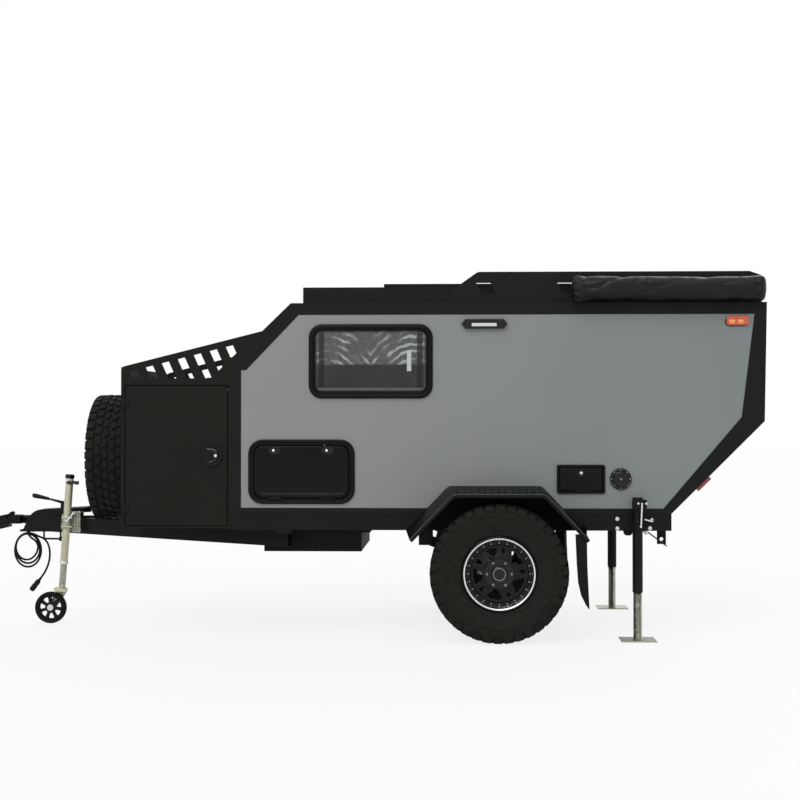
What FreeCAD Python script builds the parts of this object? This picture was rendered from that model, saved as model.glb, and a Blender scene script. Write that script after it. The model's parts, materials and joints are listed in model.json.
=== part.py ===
import FreeCAD, Part
import math
import os
import re
import Sketcher

V = FreeCAD.Vector
ACROSS = V(0, 1, 0)
UPWARD = V(0, 0, 1)
LEFT, RIGHT = -1, 1
SIDES = {"left": LEFT, "right": RIGHT}

# Off-road camper trailer, towed towards -X, its left side at -Y, floor at Z = 0.
# Lengths in millimetres, measured along X from the axle unless a name says more.
SIZES = {
    # whole trailer
    "nose_reach": 3290, "body_rear": 1580, "body_front": 1600, "half_width": 740,
    "fit_gap": 0.3, "move_gap": 5, "pin_play": 0.05,
    # cabin outline
    "floor_low": 735, "roof_top": 1984, "wall_thick": 30, "trim_thick": 4,
    "pillar_foot": 1628, "pillar_run": 367, "rear_bend": 1566, "rear_bend_high": 1282,
    "rear_slope": 1019, "post_width": 70, "post_step": 30, "sill_band": 31,
    "roof_band": 70, "pillar_band": 47, "rear_band": 73, "grey_bend": 1431,
    "grey_bend_high": 1306, "grey_slope": 972, "pillar_band_low": 1586,
    # cabin window
    "window_front": 1124, "window_rear": 389, "window_low": 1417, "window_high": 1856,
    "window_bend": 78, "frame_proud": 12, "frame_lap": 14, "frame_ring": 38,
    "pane_thick": 5, "door_ring": 30,
    # baggage door, service hatch and entry door
    "baggage_front": 1485, "baggage_rear": 852, "baggage_low": 790,
    "baggage_high": 1171, "baggage_bend": 85,
    "hatch_front": 345, "hatch_rear": 630, "hatch_low": 853, "hatch_high": 1024,
    "hatch_bend": 14, "hatch_ring": 14, "flap_leaf": 24,
    "entry_front": 1190, "entry_rear": 520, "entry_low": 800, "entry_high": 1860,
    "entry_bend": 90, "light_inset": 130, "light_low": 1400, "light_bend": 50,
    "hinge_barrel": 6, "hinge_pin": 3, "hinge_length": 50, "hinge_lug": 16,
    "latch_size": 62, "latch_proud": 9, "handle_long": 130,
    # rear hatch
    "rear_edge": 40, "rear_lip": 22,
    # lights and filler
    "porch_front": 217, "porch_rear": 55, "porch_low": 1829, "porch_high": 1885,
    "porch_deep": 26, "porch_point": 22, "marker_bend": 8, "marker_front": 1343, "marker_rear": 1470, "marker_low": 1850,
    "marker_high": 1899, "marker_deep": 18, "lamp_long": 230, "lamp_high": 105,
    "lamp_deep": 28, "lamp_inset": 70, "lamp_up": 150,
    "filler_at": 721, "filler_up": 940, "filler_size": 63, "filler_deep": 12,
    # front storage box
    "box_front": 2250, "box_low": 643, "box_sheet": 4, "box_floor": 668,
    "box_deck": 1505, "box_lip": 1605, "box_lip_bend": 28, "box_peak_at": 1404,
    "box_door_edge": 21, "box_door_inset": 8,
    "box_door_low": 655, "box_door_high": 1497, "box_door_thick": 24,
    "box_door_bend": 12, "box_frame": 40,
    "slot_count": 8, "slot_pitch": 96, "slot_wide": 42, "slot_inset": 53,
    "slot_margin": 40, "slot_foot": 1537, "slot_lean": 24, "slot_pillar": 18,
    # chassis and drawbar
    "rail_wide": 50, "rail_high": 100, "rail_wall": 4, "drawbar_tip": 2933,
    "drawbar_tip_low": 574, "drawbar_end": 1251, "drawbar_end_low": 524,
    "drawbar_spread": 600, "nose_front": 2990, "nose_rear": 2770, "nose_half": 62,
    "nose_low": 572, "nose_high": 702, "nose_flare": 50, "tail_front": 954,
    "tail_rear": 1008, "tail_low": 544, "tail_sheet": 8, "tail_at": 560,
    "tail_hole": 11,
    # water tank
    "tank_front": 1427, "tank_rear": 829, "tank_half": 440, "tank_low": 483,
    "tank_flange": 600, "tank_flange_rear": 774,
    # running gear
    "tyre_radius": 402, "tyre_wide": 265, "track_half": 905, "rim_radius": 203,
    "rim_wide": 224, "rim_lip": 218, "rim_wall": 7, "tyre_wall": 14,
    "disc_outer": 55, "disc_thick": 25, "hub_pad": 85, "hub_hole": 33,
    "drum_radius": 96, "drum_deep": 80, "axle_radius": 20, "cap_proud": 88,
    "window_in": 98, "window_out": 184, "window_corner": 14, "window_half_in": 15, "window_half_out": 19.5,
    "window_turn": 24, "tread_lugs": 32, "lug_deep": 12, "tread_fall": 10,
    "tread_edge": 34,
    "arm_pivot_at": 430, "arm_pivot_up": 580, "arm_tail": 90, "arm_size": 60,
    "arm_inner": 630, "spring_at": 130, "spring_radius": 48, "spring_wire": 14,
    "spring_top": 628, "spring_foot": 510, "damper_at": 62, "damper_radius": 22,
    "damper_y": 590,
    "fender_top": 862, "fender_low": 600, "fender_flat": 265, "fender_foot": 517,
    "fender_out": 1040, "fender_sheet": 5, "fender_lip": 20, "fender_flange": 35,
    "flap_at": 432, "flap_thick": 8, "flap_low": 205, "flap_tip": 507,
    "flap_mid": 560, "flap_mid_at": 444, "flap_in": 35, "flap_edge": 10,
    # steadying legs
    "leg_at": 813, "leg_y": 800, "leg_radius": 30, "leg_wall": 4.9, "leg_top": 834,
    "leg_bottom": 281, "leg_pin_up": 690, "leg_pin": 12, "leg_inner": 25,
    "leg_inner_top": 520, "foot_long": 207, "foot_wide": 200, "foot_thick": 6,
    "leg_plate": 6, "leg_plate_half": 55,
    # jack and jockey wheel
    "jockey_at": 2818, "jockey_y": 165, "jockey_radius": 100, "jockey_wide": 50,
    "jockey_trail": 63, "jack_lean": 3.9, "jack_radius": 24, "jack_wall": 3,
    "jack_low": 281, "jack_high": 836, "jack_inner": 20.9, "jack_inner_top": 520,
    "fork_top": 128, "fork_plate": 6, "fork_pin": 8, "jockey_hub": 27,
    "jockey_hole_in": 34, "jockey_hole_out": 74, "jockey_hole_bend": 4, "swivel_pin": 12,
    "clamp_low": 478, "clamp_high": 618, "clamp_long": 112, "clamp_deep": 46,
    "crank_up": 800, "crank_reach": 38, "grip_radius": 13,
    # coupling
    "hitch_up": 648, "neck_radius": 27, "neck_tip": 3050, "spindle_radius": 16,
    "spindle_deep": 40, "yoke_plate": 14, "pin_at": 3100, "pin_radius": 10,
    "ear_radius": 27, "ear_inner": 36, "ear_outer": 48, "head_droop": 13,
    "head_back": 36, "head_half": 45, "head_high": 84, "head_bend": 20, "socket_at": 150,
    "socket_radius": 25.2, "socket_deep": 52,
    # handbrake
    "brake_pivot_at": 2777, "brake_pivot_up": 762, "brake_grip_at": 2868,
    "brake_grip_up": 777, "brake_end_at": 2982, "brake_end_up": 796,
    # roof
    "lid_front": 1171, "lid_rear": 1440, "lid_half": 640, "lid_low": 1989,
    "lid_high": 2085, "lid_wall": 25, "lid_bend": 18, "well_lap": 45,
    "panel_front": 690, "panel_rear": 980, "panel_half": 480, "panel_high": 2118,
    "plate_front": 315, "plate_rear": 1558, "plate_y": 680, "plate_sheet": 4,
    "plate_foot": 36, "plate_step_at": 212, "plate_low_top": 2107,
    "plate_step_end": 120, "plate_high_top": 2172, "plate_back": 1488,
    "plate_bend": 40, "plate_corner": 24, "plate_nose_at": 273,
    "plate_nose_up": 2054, "rack_slot_front": 101, "rack_slot_pitch": 482,
    "rack_slot_long": 85, "rack_slot_lean": 28, "rack_slot_low": 2038,
    "rack_slot_high": 2105, "rack_slots": 2, "panel_bend": 10,
    "awning_front": 428, "awning_rear": 1560, "awning_low": 1976,
    "awning_high": 2143, "awning_inner": 745, "awning_outer": 878,
    "awning_bend": 55, "bracket_wide": 50, "bracket_thick": 8,
    "bracket_inset": 190,
    # spare wheel
    "spare_off": 176, "spare_up": 1046, "carrier_radius": 60, "carrier_plate": 260,
    # mattress
    "mattress_high": 120, "mattress_gap": 25, "mattress_rear": 640,
    # cable
    "cable_radius": 6.5, "cable_y": 30, "coil_at": 3003, "coil_up": 446,
    "coil_wide": 204, "coil_tall": 245, "coil_band": 34, "coil_half": 21,
    "plug_radius": 17, "plug_long": 98,
}

doc = FreeCAD.newDocument("CamperTrailer")
sheet = doc.addObject("Spreadsheet::Sheet", "Sizes")
for row, (alias, value) in enumerate(SIZES.items(), start=1):
    sheet.set("A%d" % row, alias)
    sheet.set("B%d" % row, str(value))
    sheet.setAlias("B%d" % row, alias)
doc.recompute()

nodes = {}


def expr(text):
    """Turn plain size names into references to the sheet."""
    def reference(match):
        word = match.group()
        return "Sizes." + word if word in SIZES else word
    return re.sub(r"[a-z][a-z_]*", reference, str(text))


def num(text):
    """The value of an expression now."""
    value = sheet.evalExpression(expr(text))
    return float(getattr(value, "Value", value))


# The part's origin is on the floor under the middle of its length.
AXLE = "((nose_reach - body_rear) / 2 - hinge_barrel)"


def at(x, y, z):
    """A point given from the axle, in the part's frame."""
    return V(num(AXLE) + num(x), num(y), num(z))


def bind_base(thing, x, y, z, from_axle=True):
    along = "%s + (%s)" % (AXLE, x) if from_axle else x
    thing.setExpression("Placement.Base.x", expr(along))
    thing.setExpression("Placement.Base.y", expr(y))
    thing.setExpression("Placement.Base.z", expr(z))


def keep(label, thing):
    """File a finished sub-part under its label."""
    thing.Label = label
    nodes[label] = thing
    return thing


# Sketches

def outline(sketch, corners):
    """One closed outline: corners are (x, y) or (x, y, bend radius)."""
    points = [V(num(c[0]), num(c[1]), 0) for c in corners]
    bends = [c[2] if len(c) > 2 else None for c in corners]
    count = len(points)
    runs = [(points[(i + 1) % count] - points[i]).normalize() for i in range(count)]
    turns = []
    for i in range(count):
        before, after = runs[i - 1], runs[i]
        cross = before.x * after.y - before.y * after.x
        turns.append(math.atan2(cross, before.dot(after)))
    trims = [
        num(bends[i]) * abs(math.tan(turns[i] / 2)) if bends[i] else 0
        for i in range(count)
    ]
    first = sketch.GeometryCount
    for i in range(count):
        start = points[i] + runs[i] * trims[i]
        end = points[(i + 1) % count] - runs[i] * trims[(i + 1) % count]
        sketch.addGeometry(Part.LineSegment(start, end), False)
    for i, corner in enumerate(corners):
        before, after = first + (i - 1) % count, first + i
        if bends[i]:
            marker = bend(sketch, points[i], runs[i - 1], runs[i], trims[i], turns[i],
                          before, after, bends[i])
        else:
            sketch.addConstraint(Sketcher.Constraint("Coincident", before, 2, after, 1))
            marker = after
        for kind, text, value in (("DistanceX", corner[0], points[i].x),
                                  ("DistanceY", corner[1], points[i].y)):
            index = sketch.addConstraint(
                Sketcher.Constraint(kind, -1, 1, marker, 1, value))
            sketch.setExpression("Constraints[%d]" % index, expr(text))


def bend(sketch, corner, run_in, run_out, trim, turn, before, after, radius):
    """A tangent arc at a corner, held by a construction point on both lines."""
    left = 1 if turn > 0 else -1
    start = corner - run_in * trim
    end = corner + run_out * trim
    centre = end + V(-run_out.y, run_out.x, 0) * num(radius) * left
    angles = [math.atan2(p.y - centre.y, p.x - centre.x) for p in (start, end)]
    if left < 0:
        angles.reverse()
    circle = Part.Circle(centre, UPWARD, num(radius))
    arc = sketch.addGeometry(Part.ArcOfCircle(circle, angles[0], angles[1]), False)
    head, tail = (1, 2) if left > 0 else (2, 1)
    marker = sketch.addGeometry(Part.Point(corner), True)
    sketch.addConstraint(Sketcher.Constraint("Tangent", before, 2, arc, head))
    sketch.addConstraint(Sketcher.Constraint("Tangent", arc, tail, after, 1))
    sketch.addConstraint(Sketcher.Constraint("PointOnObject", marker, 1, before))
    sketch.addConstraint(Sketcher.Constraint("PointOnObject", marker, 1, after))
    index = sketch.addConstraint(Sketcher.Constraint("Radius", arc, num(radius)))
    sketch.setExpression("Constraints[%d]" % index, expr(radius))
    return marker


def rectangle(x0, y0, x1, y1, radius=None):
    """Corners of an upright rectangle, anticlockwise."""
    extra = (radius,) if radius else ()
    return [(x0, y0) + extra, (x1, y0) + extra, (x1, y1) + extra, (x0, y1) + extra]


def origin_feature(body, role):
    return [f for f in body.Origin.OriginFeatures if f.Role == role][0]


def new_body(name):
    body = doc.addObject("PartDesign::Body", name)
    body.AllowCompound = True
    return body


def sketch_on(body, role, loops, name="Outline"):
    sketch = body.newObject("Sketcher::SketchObject", name)
    sketch.AttachmentSupport = [(origin_feature(body, role), "")]
    sketch.MapMode = "FlatFace"
    for corners in loops:
        outline(sketch, corners)
    return sketch


def pad(body, sketch, depth, reverse=False, middle=False):
    feature = body.newObject("PartDesign::Pad", "Pad")
    feature.Profile = sketch
    feature.setExpression("Length", expr(depth))
    feature.Reversed = reverse
    feature.Midplane = middle
    body.Tip = feature
    return feature


def side_plate(name, loops, low, depth):
    """Side view outlines (X, Z) padded along Y from low, over depth."""
    body = new_body(name)
    pad(body, sketch_on(body, "XZ_Plane", loops), depth, reverse=True)
    bind_base(body, "0", low, "0")
    return body


def front_plate(name, loops, front, depth):
    """Front view outlines (Y, Z) padded along X from front, over depth."""
    body = new_body(name)
    pad(body, sketch_on(body, "YZ_Plane", loops), depth)
    bind_base(body, front, "0", "0")
    return body


def flat_plate(name, loops, low, depth):
    """Plan outlines (X, Y) padded along Z from low, over depth."""
    body = new_body(name)
    pad(body, sketch_on(body, "XY_Plane", loops), depth)
    bind_base(body, "0", "0", low)
    return body


def reach(side, near, far):
    """Where a piece between two distances from the middle starts, and its depth."""
    low = "-(%s)" % far if side == LEFT else near
    return low, "(%s) - (%s)" % (far, near)


# Primitives and booleans

def box(name, x0, x1, y0, y1, z0, z1):
    """A box between two corners, X given from the axle."""
    piece = doc.addObject("Part::Box", name)
    piece.setExpression("Length", expr("(%s) - (%s)" % (x1, x0)))
    piece.setExpression("Width", expr("(%s) - (%s)" % (y1, y0)))
    piece.setExpression("Height", expr("(%s) - (%s)" % (z1, z0)))
    bind_base(piece, x0, y0, z0)
    return piece


def side_box(name, side, x0, x1, near, far, z0, z1):
    low, depth = reach(side, near, far)
    return box(name, x0, x1, low, "(%s) + (%s)" % (low, depth), z0, z1)


ALONG_X = FreeCAD.Rotation(V(0, 1, 0), 90)
ALONG_Y = FreeCAD.Rotation(V(1, 0, 0), -90)
ALONG_Z = FreeCAD.Rotation()


def rod(name, turn, x, y, z, radius, length):
    """A cylinder that starts at a point and runs along +X, +Y or +Z."""
    piece = doc.addObject("Part::Cylinder", name)
    piece.Placement = FreeCAD.Placement(V(), turn)
    piece.setExpression("Radius", expr(radius))
    piece.setExpression("Height", expr(length))
    bind_base(piece, x, y, z)
    return piece


def side_rod(name, side, x, near, far, z, radius):
    low, depth = reach(side, near, far)
    return rod(name, ALONG_Y, x, low, z, radius, depth)


def fuse(name, parts):
    piece = doc.addObject("Part::MultiFuse", name)
    piece.Shapes = parts
    return piece


def cut(name, base, tools):
    piece = doc.addObject("Part::Cut", name)
    piece.Base = base
    piece.Tool = tools[0] if len(tools) == 1 else fuse(name + "_tools", tools)
    return piece


def group(name, parts):
    """Like pieces that don't touch, in one node."""
    piece = doc.addObject("Part::Compound", name)
    piece.Links = parts
    return piece


def shaped(name, shape, placement=None):
    """A piece whose skewed or swept shape no feature gives."""
    piece = doc.addObject("Part::Feature", name)
    piece.Shape = shape
    if placement:
        piece.Placement = placement
    return piece


def skew_bar(start, end, wide, high, wall=0):
    """A bar of upright rectangular section between two points, open-ended if hollow."""
    run = end - start
    across = run.cross(UPWARD).normalize()

    def prism(half, top, low):
        corners = [
            start + across * half + UPWARD * low,
            start - across * half + UPWARD * low,
            start - across * half + UPWARD * top,
            start + across * half + UPWARD * top,
        ]
        return Part.Face(Part.makePolygon(corners + corners[:1])).extrude(run)

    bar = prism(wide / 2, high, 0)
    if wall:
        bar = bar.cut(prism(wide / 2 - wall, high - wall, wall))
    return bar


def round_bar(start, end, radius):
    run = end - start
    return Part.makeCylinder(radius, run.Length, start, run)


# Cabin

BODY = [
    ("-body_front", "floor_low"),
    ("rear_slope", "floor_low"),
    ("rear_bend", "rear_bend_high"),
    ("body_rear", "roof_top"),
    ("-body_front + pillar_run", "roof_top"),
    ("-body_front", "pillar_foot"),
]
PANEL = [
    ("-body_front + post_width", "floor_low + sill_band"),
    ("grey_slope", "floor_low + sill_band"),
    ("grey_bend", "grey_bend_high"),
    ("body_rear - rear_band", "roof_top - roof_band"),
    ("-body_front + pillar_run + pillar_band", "roof_top - roof_band"),
    ("-body_front + post_width + post_step", "pillar_band_low"),
    ("-body_front + post_width", "pillar_band_low"),
]
INNER = "half_width - trim_thick - wall_thick"


def grown(edges, amount):
    """A rectangle (front, low, rear, high) grown on all sides."""
    front, low, rear, high = edges
    return ("(%s) - (%s)" % (front, amount), "(%s) - (%s)" % (low, amount),
            "(%s) + (%s)" % (rear, amount), "(%s) + (%s)" % (high, amount))


WINDOW = ("-window_front", "window_low", "-window_rear", "window_high")
BAGGAGE = ("-baggage_front", "baggage_low", "-baggage_rear", "baggage_high")
HATCH = ("hatch_front", "hatch_low", "hatch_rear", "hatch_high")
ENTRY = ("-entry_front", "entry_low", "-entry_rear", "entry_high")
OPENINGS = {
    "window": (WINDOW, "window_bend", LEFT, "frame_ring"),
    "baggage": (BAGGAGE, "baggage_bend", LEFT, "door_ring"),
    "service": (HATCH, "hatch_bend", LEFT, "hatch_ring"),
    "entry": (ENTRY, "entry_bend", RIGHT, "door_ring"),
}


def lap_of(name):
    """How far a frame's flange laps the wall: less on a narrow ring."""
    return "frame_lap" if OPENINGS[name][3] != "hatch_ring" else "frame_lap / 2"


def make_walls():
    walls, trims = [], []
    for word, side in SIDES.items():
        loops = [BODY]
        for name, (edges, radius, where, ring) in OPENINGS.items():
            if where == side:
                lap = lap_of(name)
                loops.append(rectangle(*grown(edges, "-(%s)" % lap),
                                       "%s - %s" % (radius, lap)))
        walls.append(side_plate("SideWall_" + word, loops,
                                *reach(side, INNER, "half_width - trim_thick")))
        trims.append(side_plate("SideTrim_" + word, [BODY, PANEL],
                                *reach(side, "half_width - trim_thick", "half_width")))
    keep("side_walls", group("SideWalls", walls))
    keep("side_trims", group("SideTrims", trims))


def make_floor_and_roof():
    floor = box("FloorPanel", "-body_front", "rear_slope", "-(%s)" % INNER, INNER,
                "floor_low", "floor_low + wall_thick")
    keep("floor_panel", floor)
    roof = flat_plate("RoofPanel", [
        rectangle("-body_front + pillar_run", "-(%s)" % INNER,
                  "body_rear - rear_lip", INNER),
        rectangle("-lid_front + well_lap", "-lid_half + well_lap",
                  "lid_rear - well_lap", "lid_half - well_lap", "lid_bend"),
    ], "roof_top - wall_thick", "wall_thick")
    roof_parts.append(roof)
    # The front wall bends along the pillar's slope, cut square under the roof.
    front = side_plate("FrontWall", [[
        ("-body_front", "floor_low + wall_thick"),
        ("-body_front + wall_thick", "floor_low + wall_thick"),
        ("-body_front + wall_thick", "pillar_foot - wall_thick * 0.4"),
        ("-body_front + pillar_run + wall_thick * 0.4", "roof_top - wall_thick"),
        ("-body_front + pillar_run", "roof_top - wall_thick"),
        ("-body_front + pillar_run", "roof_top"),
        ("-body_front", "pillar_foot"),
    ]], "-(%s)" % INNER, "2 * (%s)" % INNER)
    keep("front_wall", front)
    slope = side_plate("RearSlope", [[
        ("rear_slope", "floor_low"),
        ("rear_bend", "rear_bend_high"),
        ("rear_bend - wall_thick", "rear_bend_high"),
        ("rear_slope", "floor_low + wall_thick"),
    ]], "-(%s)" % INNER, "2 * (%s)" % INNER)
    keep("rear_slope_wall", slope)


def ring_frame(name, ring_name):
    """A frame with a flange on the wall and a sleeve through it."""
    edges, radius, side, ring = OPENINGS[name]
    lap = lap_of(name)
    hole = rectangle(*grown(edges, "-%s" % ring), "%s - %s" % (radius, ring_bend(name)))
    flange = side_plate(ring_name + "Flange", [rectangle(*edges, radius), hole],
                        *reach(side, "half_width - trim_thick",
                               "half_width - trim_thick + frame_proud"))
    sleeve_edge = rectangle(*grown(edges, "-(%s + fit_gap)" % lap),
                            "%s - %s - fit_gap" % (radius, lap))
    sleeve = side_plate(ring_name + "Sleeve", [sleeve_edge, hole],
                        *reach(side, INNER, "half_width - trim_thick"))
    return [flange, sleeve]


def ring_bend(name):
    """How much a corner tightens towards a ring's hole."""
    return "hatch_bend / 2" if name == "service" else OPENINGS[name][3]


def upright_hinge(name, side, x, z, out_face, seat, lug_front):
    """Hinge with an upright pin: lugs for the frame, barrel and pin for the door.

    The lugs run from the seat's face outwards and from lug_front back to the pin.
    """
    centre = "(%s) + hinge_barrel" % out_face
    y = "(%s) * %d" % (centre, side)
    low = "(%s) - hinge_length / 2" % z
    gap = "fit_gap * 2"
    lugs = []
    for end, start in (("Low", "%s - hinge_lug - %s" % (low, gap)),
                       ("High", "%s + hinge_length + %s" % (low, gap))):
        barrel = rod(name + "Lug" + end, ALONG_Z, x, y, start, "hinge_barrel",
                     "hinge_lug")
        leaf = side_box(name + "LugLeaf" + end, side, lug_front, x, seat, centre,
                        start, "%s + hinge_lug" % start)
        bore = rod(name + "Bore" + end, ALONG_Z, x, y, start, "hinge_pin + pin_play",
                   "hinge_lug")
        lugs.append(cut(name + "LugCut" + end, fuse(name + "LugBody" + end,
                                                    [barrel, leaf]), [bore]))
    barrel = rod(name + "Barrel", ALONG_Z, x, y, low, "hinge_barrel", "hinge_length")
    pin = rod(name + "Pin", ALONG_Z, x, y, "%s - hinge_lug - %s" % (low, gap),
              "hinge_pin", "hinge_length + 2 * (hinge_lug + %s)" % gap)
    leaf = side_box(name + "Leaf", side, x, "%s + hinge_barrel * 4" % x,
                    "(%s) - hinge_pin" % out_face, centre, low,
                    "%s + hinge_length" % low)
    return lugs, [barrel, pin, leaf]


def level_hinge(name, side, x, z, out_face):
    """Hinge with a level pin along X, below a flap that drops outwards."""
    centre = "(%s) + hinge_barrel" % out_face
    y = "(%s) * %d" % (centre, side)
    front = "(%s) - hinge_length / 2" % x
    gap = "fit_gap * 2"
    lugs = []
    for end, start in (("Front", "%s - hinge_lug - %s" % (front, gap)),
                       ("Rear", "%s + hinge_length + %s" % (front, gap))):
        barrel = rod(name + "Lug" + end, ALONG_X, start, y, z, "hinge_barrel",
                     "hinge_lug")
        leaf = side_box(name + "LugLeaf" + end, side, start, "%s + hinge_lug" % start,
                        "half_width - trim_thick", centre,
                        "%s - hinge_barrel * 2" % z, z)
        bore = rod(name + "Bore" + end, ALONG_X, start, y, z, "hinge_pin + pin_play",
                   "hinge_lug")
        lugs.append(cut(name + "LugCut" + end, fuse(name + "LugBody" + end,
                                                    [barrel, leaf]), [bore]))
    barrel = rod(name + "Barrel", ALONG_X, front, y, z, "hinge_barrel", "hinge_length")
    pin = rod(name + "Pin", ALONG_X, "%s - hinge_lug - %s" % (front, gap), y, z,
              "hinge_pin", "hinge_length + 2 * (hinge_lug + %s)" % gap)
    leaf = side_box(name + "Leaf", side, front, "%s + hinge_length" % front,
                    "(%s) - hinge_pin" % out_face, centre, z,
                    "%s + hinge_barrel * 4" % z)
    return lugs, [barrel, pin, leaf]


FACE = "half_width - trim_thick + frame_proud"
frames = []
roof_parts = []


def make_window():
    frames.append(fuse("WindowFrame", ring_frame("window", "Window")))
    edges, radius, side, ring = OPENINGS["window"]
    pane = side_plate("WindowPane", [
        rectangle(*grown(edges, "-(%s + fit_gap)" % ring),
                  "%s - %s - fit_gap" % (radius, ring)),
    ], *reach(side, "%s - 2 * pane_thick" % FACE, "%s - pane_thick" % FACE))
    keep("window_pane_left", pane)


def door_panel(name, panel_name, inner_face, holes=()):
    edges, radius, side, ring = OPENINGS[name]
    leaf = rectangle(*grown(edges, "-(%s + move_gap)" % ring),
                     "%s - %s" % (radius, ring_bend(name)))
    return side_plate(panel_name, [leaf] + list(holes),
                      *reach(side, inner_face, FACE))


def make_flaps():
    """Baggage door and service hatch: hinged below, dropping outwards."""
    for name, node, count in (("baggage", "baggage_door", 2), ("service", "service_hatch", 1)):
        edges, radius, side, ring = OPENINGS[name]
        title = node.title().replace("_", "")
        frame = ring_frame(name, title + "Frame")
        door = [door_panel(name, title + "Panel", "%s - flap_leaf" % FACE)]
        front, low, rear, high = edges
        middle = "((%s) + (%s)) / 2" % (front, rear)
        spread = "((%s) - (%s)) / 4" % (rear, front)
        for i in range(count):
            where = middle
            if count == 2:
                where = "%s %s %s" % (middle, "-+"[i], spread)
            lugs, barrels = level_hinge("%sHinge%d" % (title, i), side, where,
                                        "%s + %s" % (low, ring), FACE)
            frame += lugs
            door += barrels
            door.append(side_rod("%sLatch%d" % (title, i), side, where,
                                 "%s - wall_thick / 2" % FACE, "%s + latch_proud" % FACE,
                                 "%s - %s - latch_size * 0.55" % (high, ring),
                                 "latch_size / 3"))
        frames.append(fuse(title + "Frame", frame))
        keep(node, fuse(title, door))


def make_entry_door():
    edges, radius, side, ring = OPENINGS["entry"]
    front, low, rear, high = edges
    light = rectangle(
        "%s + light_inset" % front, "light_low", "%s - light_inset" % rear,
        "%s - light_inset" % high, "light_bend")
    panel = door_panel("entry", "EntryPanel", INNER, [light])
    glass = rectangle(
        "%s + light_inset + fit_gap" % front, "light_low + fit_gap",
        "%s - light_inset - fit_gap" % rear, "%s - light_inset - fit_gap" % high,
        "light_bend - fit_gap")
    pane = side_plate("EntryPane", [glass],
                      *reach(side, "%s - 3 * pane_thick" % FACE,
                             "%s - 2 * pane_thick" % FACE))
    frame = ring_frame("entry", "EntryFrame")
    door = [panel]
    for i, share in enumerate((0.2, 0.8)):
        where = "%s + (%s - (%s)) * %s" % (low, high, low, share)
        pin_at = "%s + %s" % (front, ring)
        lugs, barrels = upright_hinge("EntryHinge%d" % i, side, pin_at, where, FACE,
                                      "half_width - trim_thick",
                                      pin_at + " - hinge_barrel * 3")
        frame += lugs
        door += barrels
    handle = side_box("EntryHandle", side, "%s - %s - handle_long / 2" % (rear, ring),
                      "%s - %s - handle_long / 5" % (rear, ring), FACE,
                      "%s + latch_proud * 2" % FACE,
                      "light_low - handle_long * 1.5", "light_low - handle_long / 2")
    door.append(handle)
    frames.append(fuse("EntryFrame", frame))
    keep("entry_door", fuse("EntryDoor", door))
    keep("entry_pane", pane)


REAR_PIN = ("body_rear + hinge_barrel", "roof_top - hinge_barrel")


def make_rear_hatch():
    """Full-width rear hatch, hinged under the roof's rear edge."""
    half = "%s - move_gap" % INNER
    panel = side_plate("RearHatchPanel", [[
        ("rear_bend", "rear_bend_high + 2 * move_gap"),
        ("body_rear - fit_gap * 2", "roof_top - rear_edge - move_gap"),
        ("body_rear - wall_thick", "roof_top - rear_edge - move_gap"),
        ("rear_bend - wall_thick", "rear_bend_high + 2 * move_gap"),
    ]], "-(%s)" % half, "2 * (%s)" % half)
    header = box("RearHeader", "body_rear - rear_lip", "body_rear", "-(%s)" % INNER, INNER,
                 "roof_top - rear_edge", "roof_top")
    roof_parts.append(header)
    hatch_parts = [panel]
    x, z = REAR_PIN
    for i, share in enumerate((-0.6, 0.6)):
        middle = "half_width * %s" % share
        start = "%s - hinge_length" % middle
        gap = "fit_gap * 2"
        for end, low in (("Left", "%s - hinge_lug - %s" % (start, gap)),
                         ("Right", "%s + 2 * hinge_length + %s" % (start, gap))):
            barrel = rod("RearLug%s%d" % (end, i), ALONG_Y, x, low, z, "hinge_barrel",
                         "hinge_lug")
            leaf = box("RearLugLeaf%s%d" % (end, i), "body_rear - rear_lip / 2", x, low,
                       "%s + hinge_lug" % low, "%s - hinge_barrel" % z,
                       "%s + hinge_barrel" % z)
            bore = rod("RearBore%s%d" % (end, i), ALONG_Y, x, low, z,
                       "hinge_pin + pin_play", "hinge_lug")
            roof_parts.append(cut("RearLugCut%s%d" % (end, i),
                                  fuse("RearLugBody%s%d" % (end, i), [barrel, leaf]),
                                  [bore]))
        barrel = rod("RearBarrel%d" % i, ALONG_Y, x, start, z, "hinge_barrel",
                     "2 * hinge_length")
        pin = rod("RearPin%d" % i, ALONG_Y, x, "%s - hinge_lug - %s" % (start, gap), z,
                  "hinge_pin", "2 * (hinge_length + hinge_lug + %s)" % gap)
        strap = box("RearStrap%d" % i, "body_rear + fit_gap * 2",
                    "body_rear + hinge_barrel", start, "%s + 2 * hinge_length" % start,
                    "roof_top - rear_edge - move_gap - hinge_length", z)
        tab = box("RearTab%d" % i, "body_rear - rear_lip", "body_rear + hinge_barrel",
                  start, "%s + 2 * hinge_length" % start,
                  "roof_top - rear_edge - move_gap - hinge_length",
                  "roof_top - rear_edge - move_gap")
        hatch_parts += [barrel, pin, strap, tab]
    keep("rear_hatch", fuse("RearHatch", hatch_parts))


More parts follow.
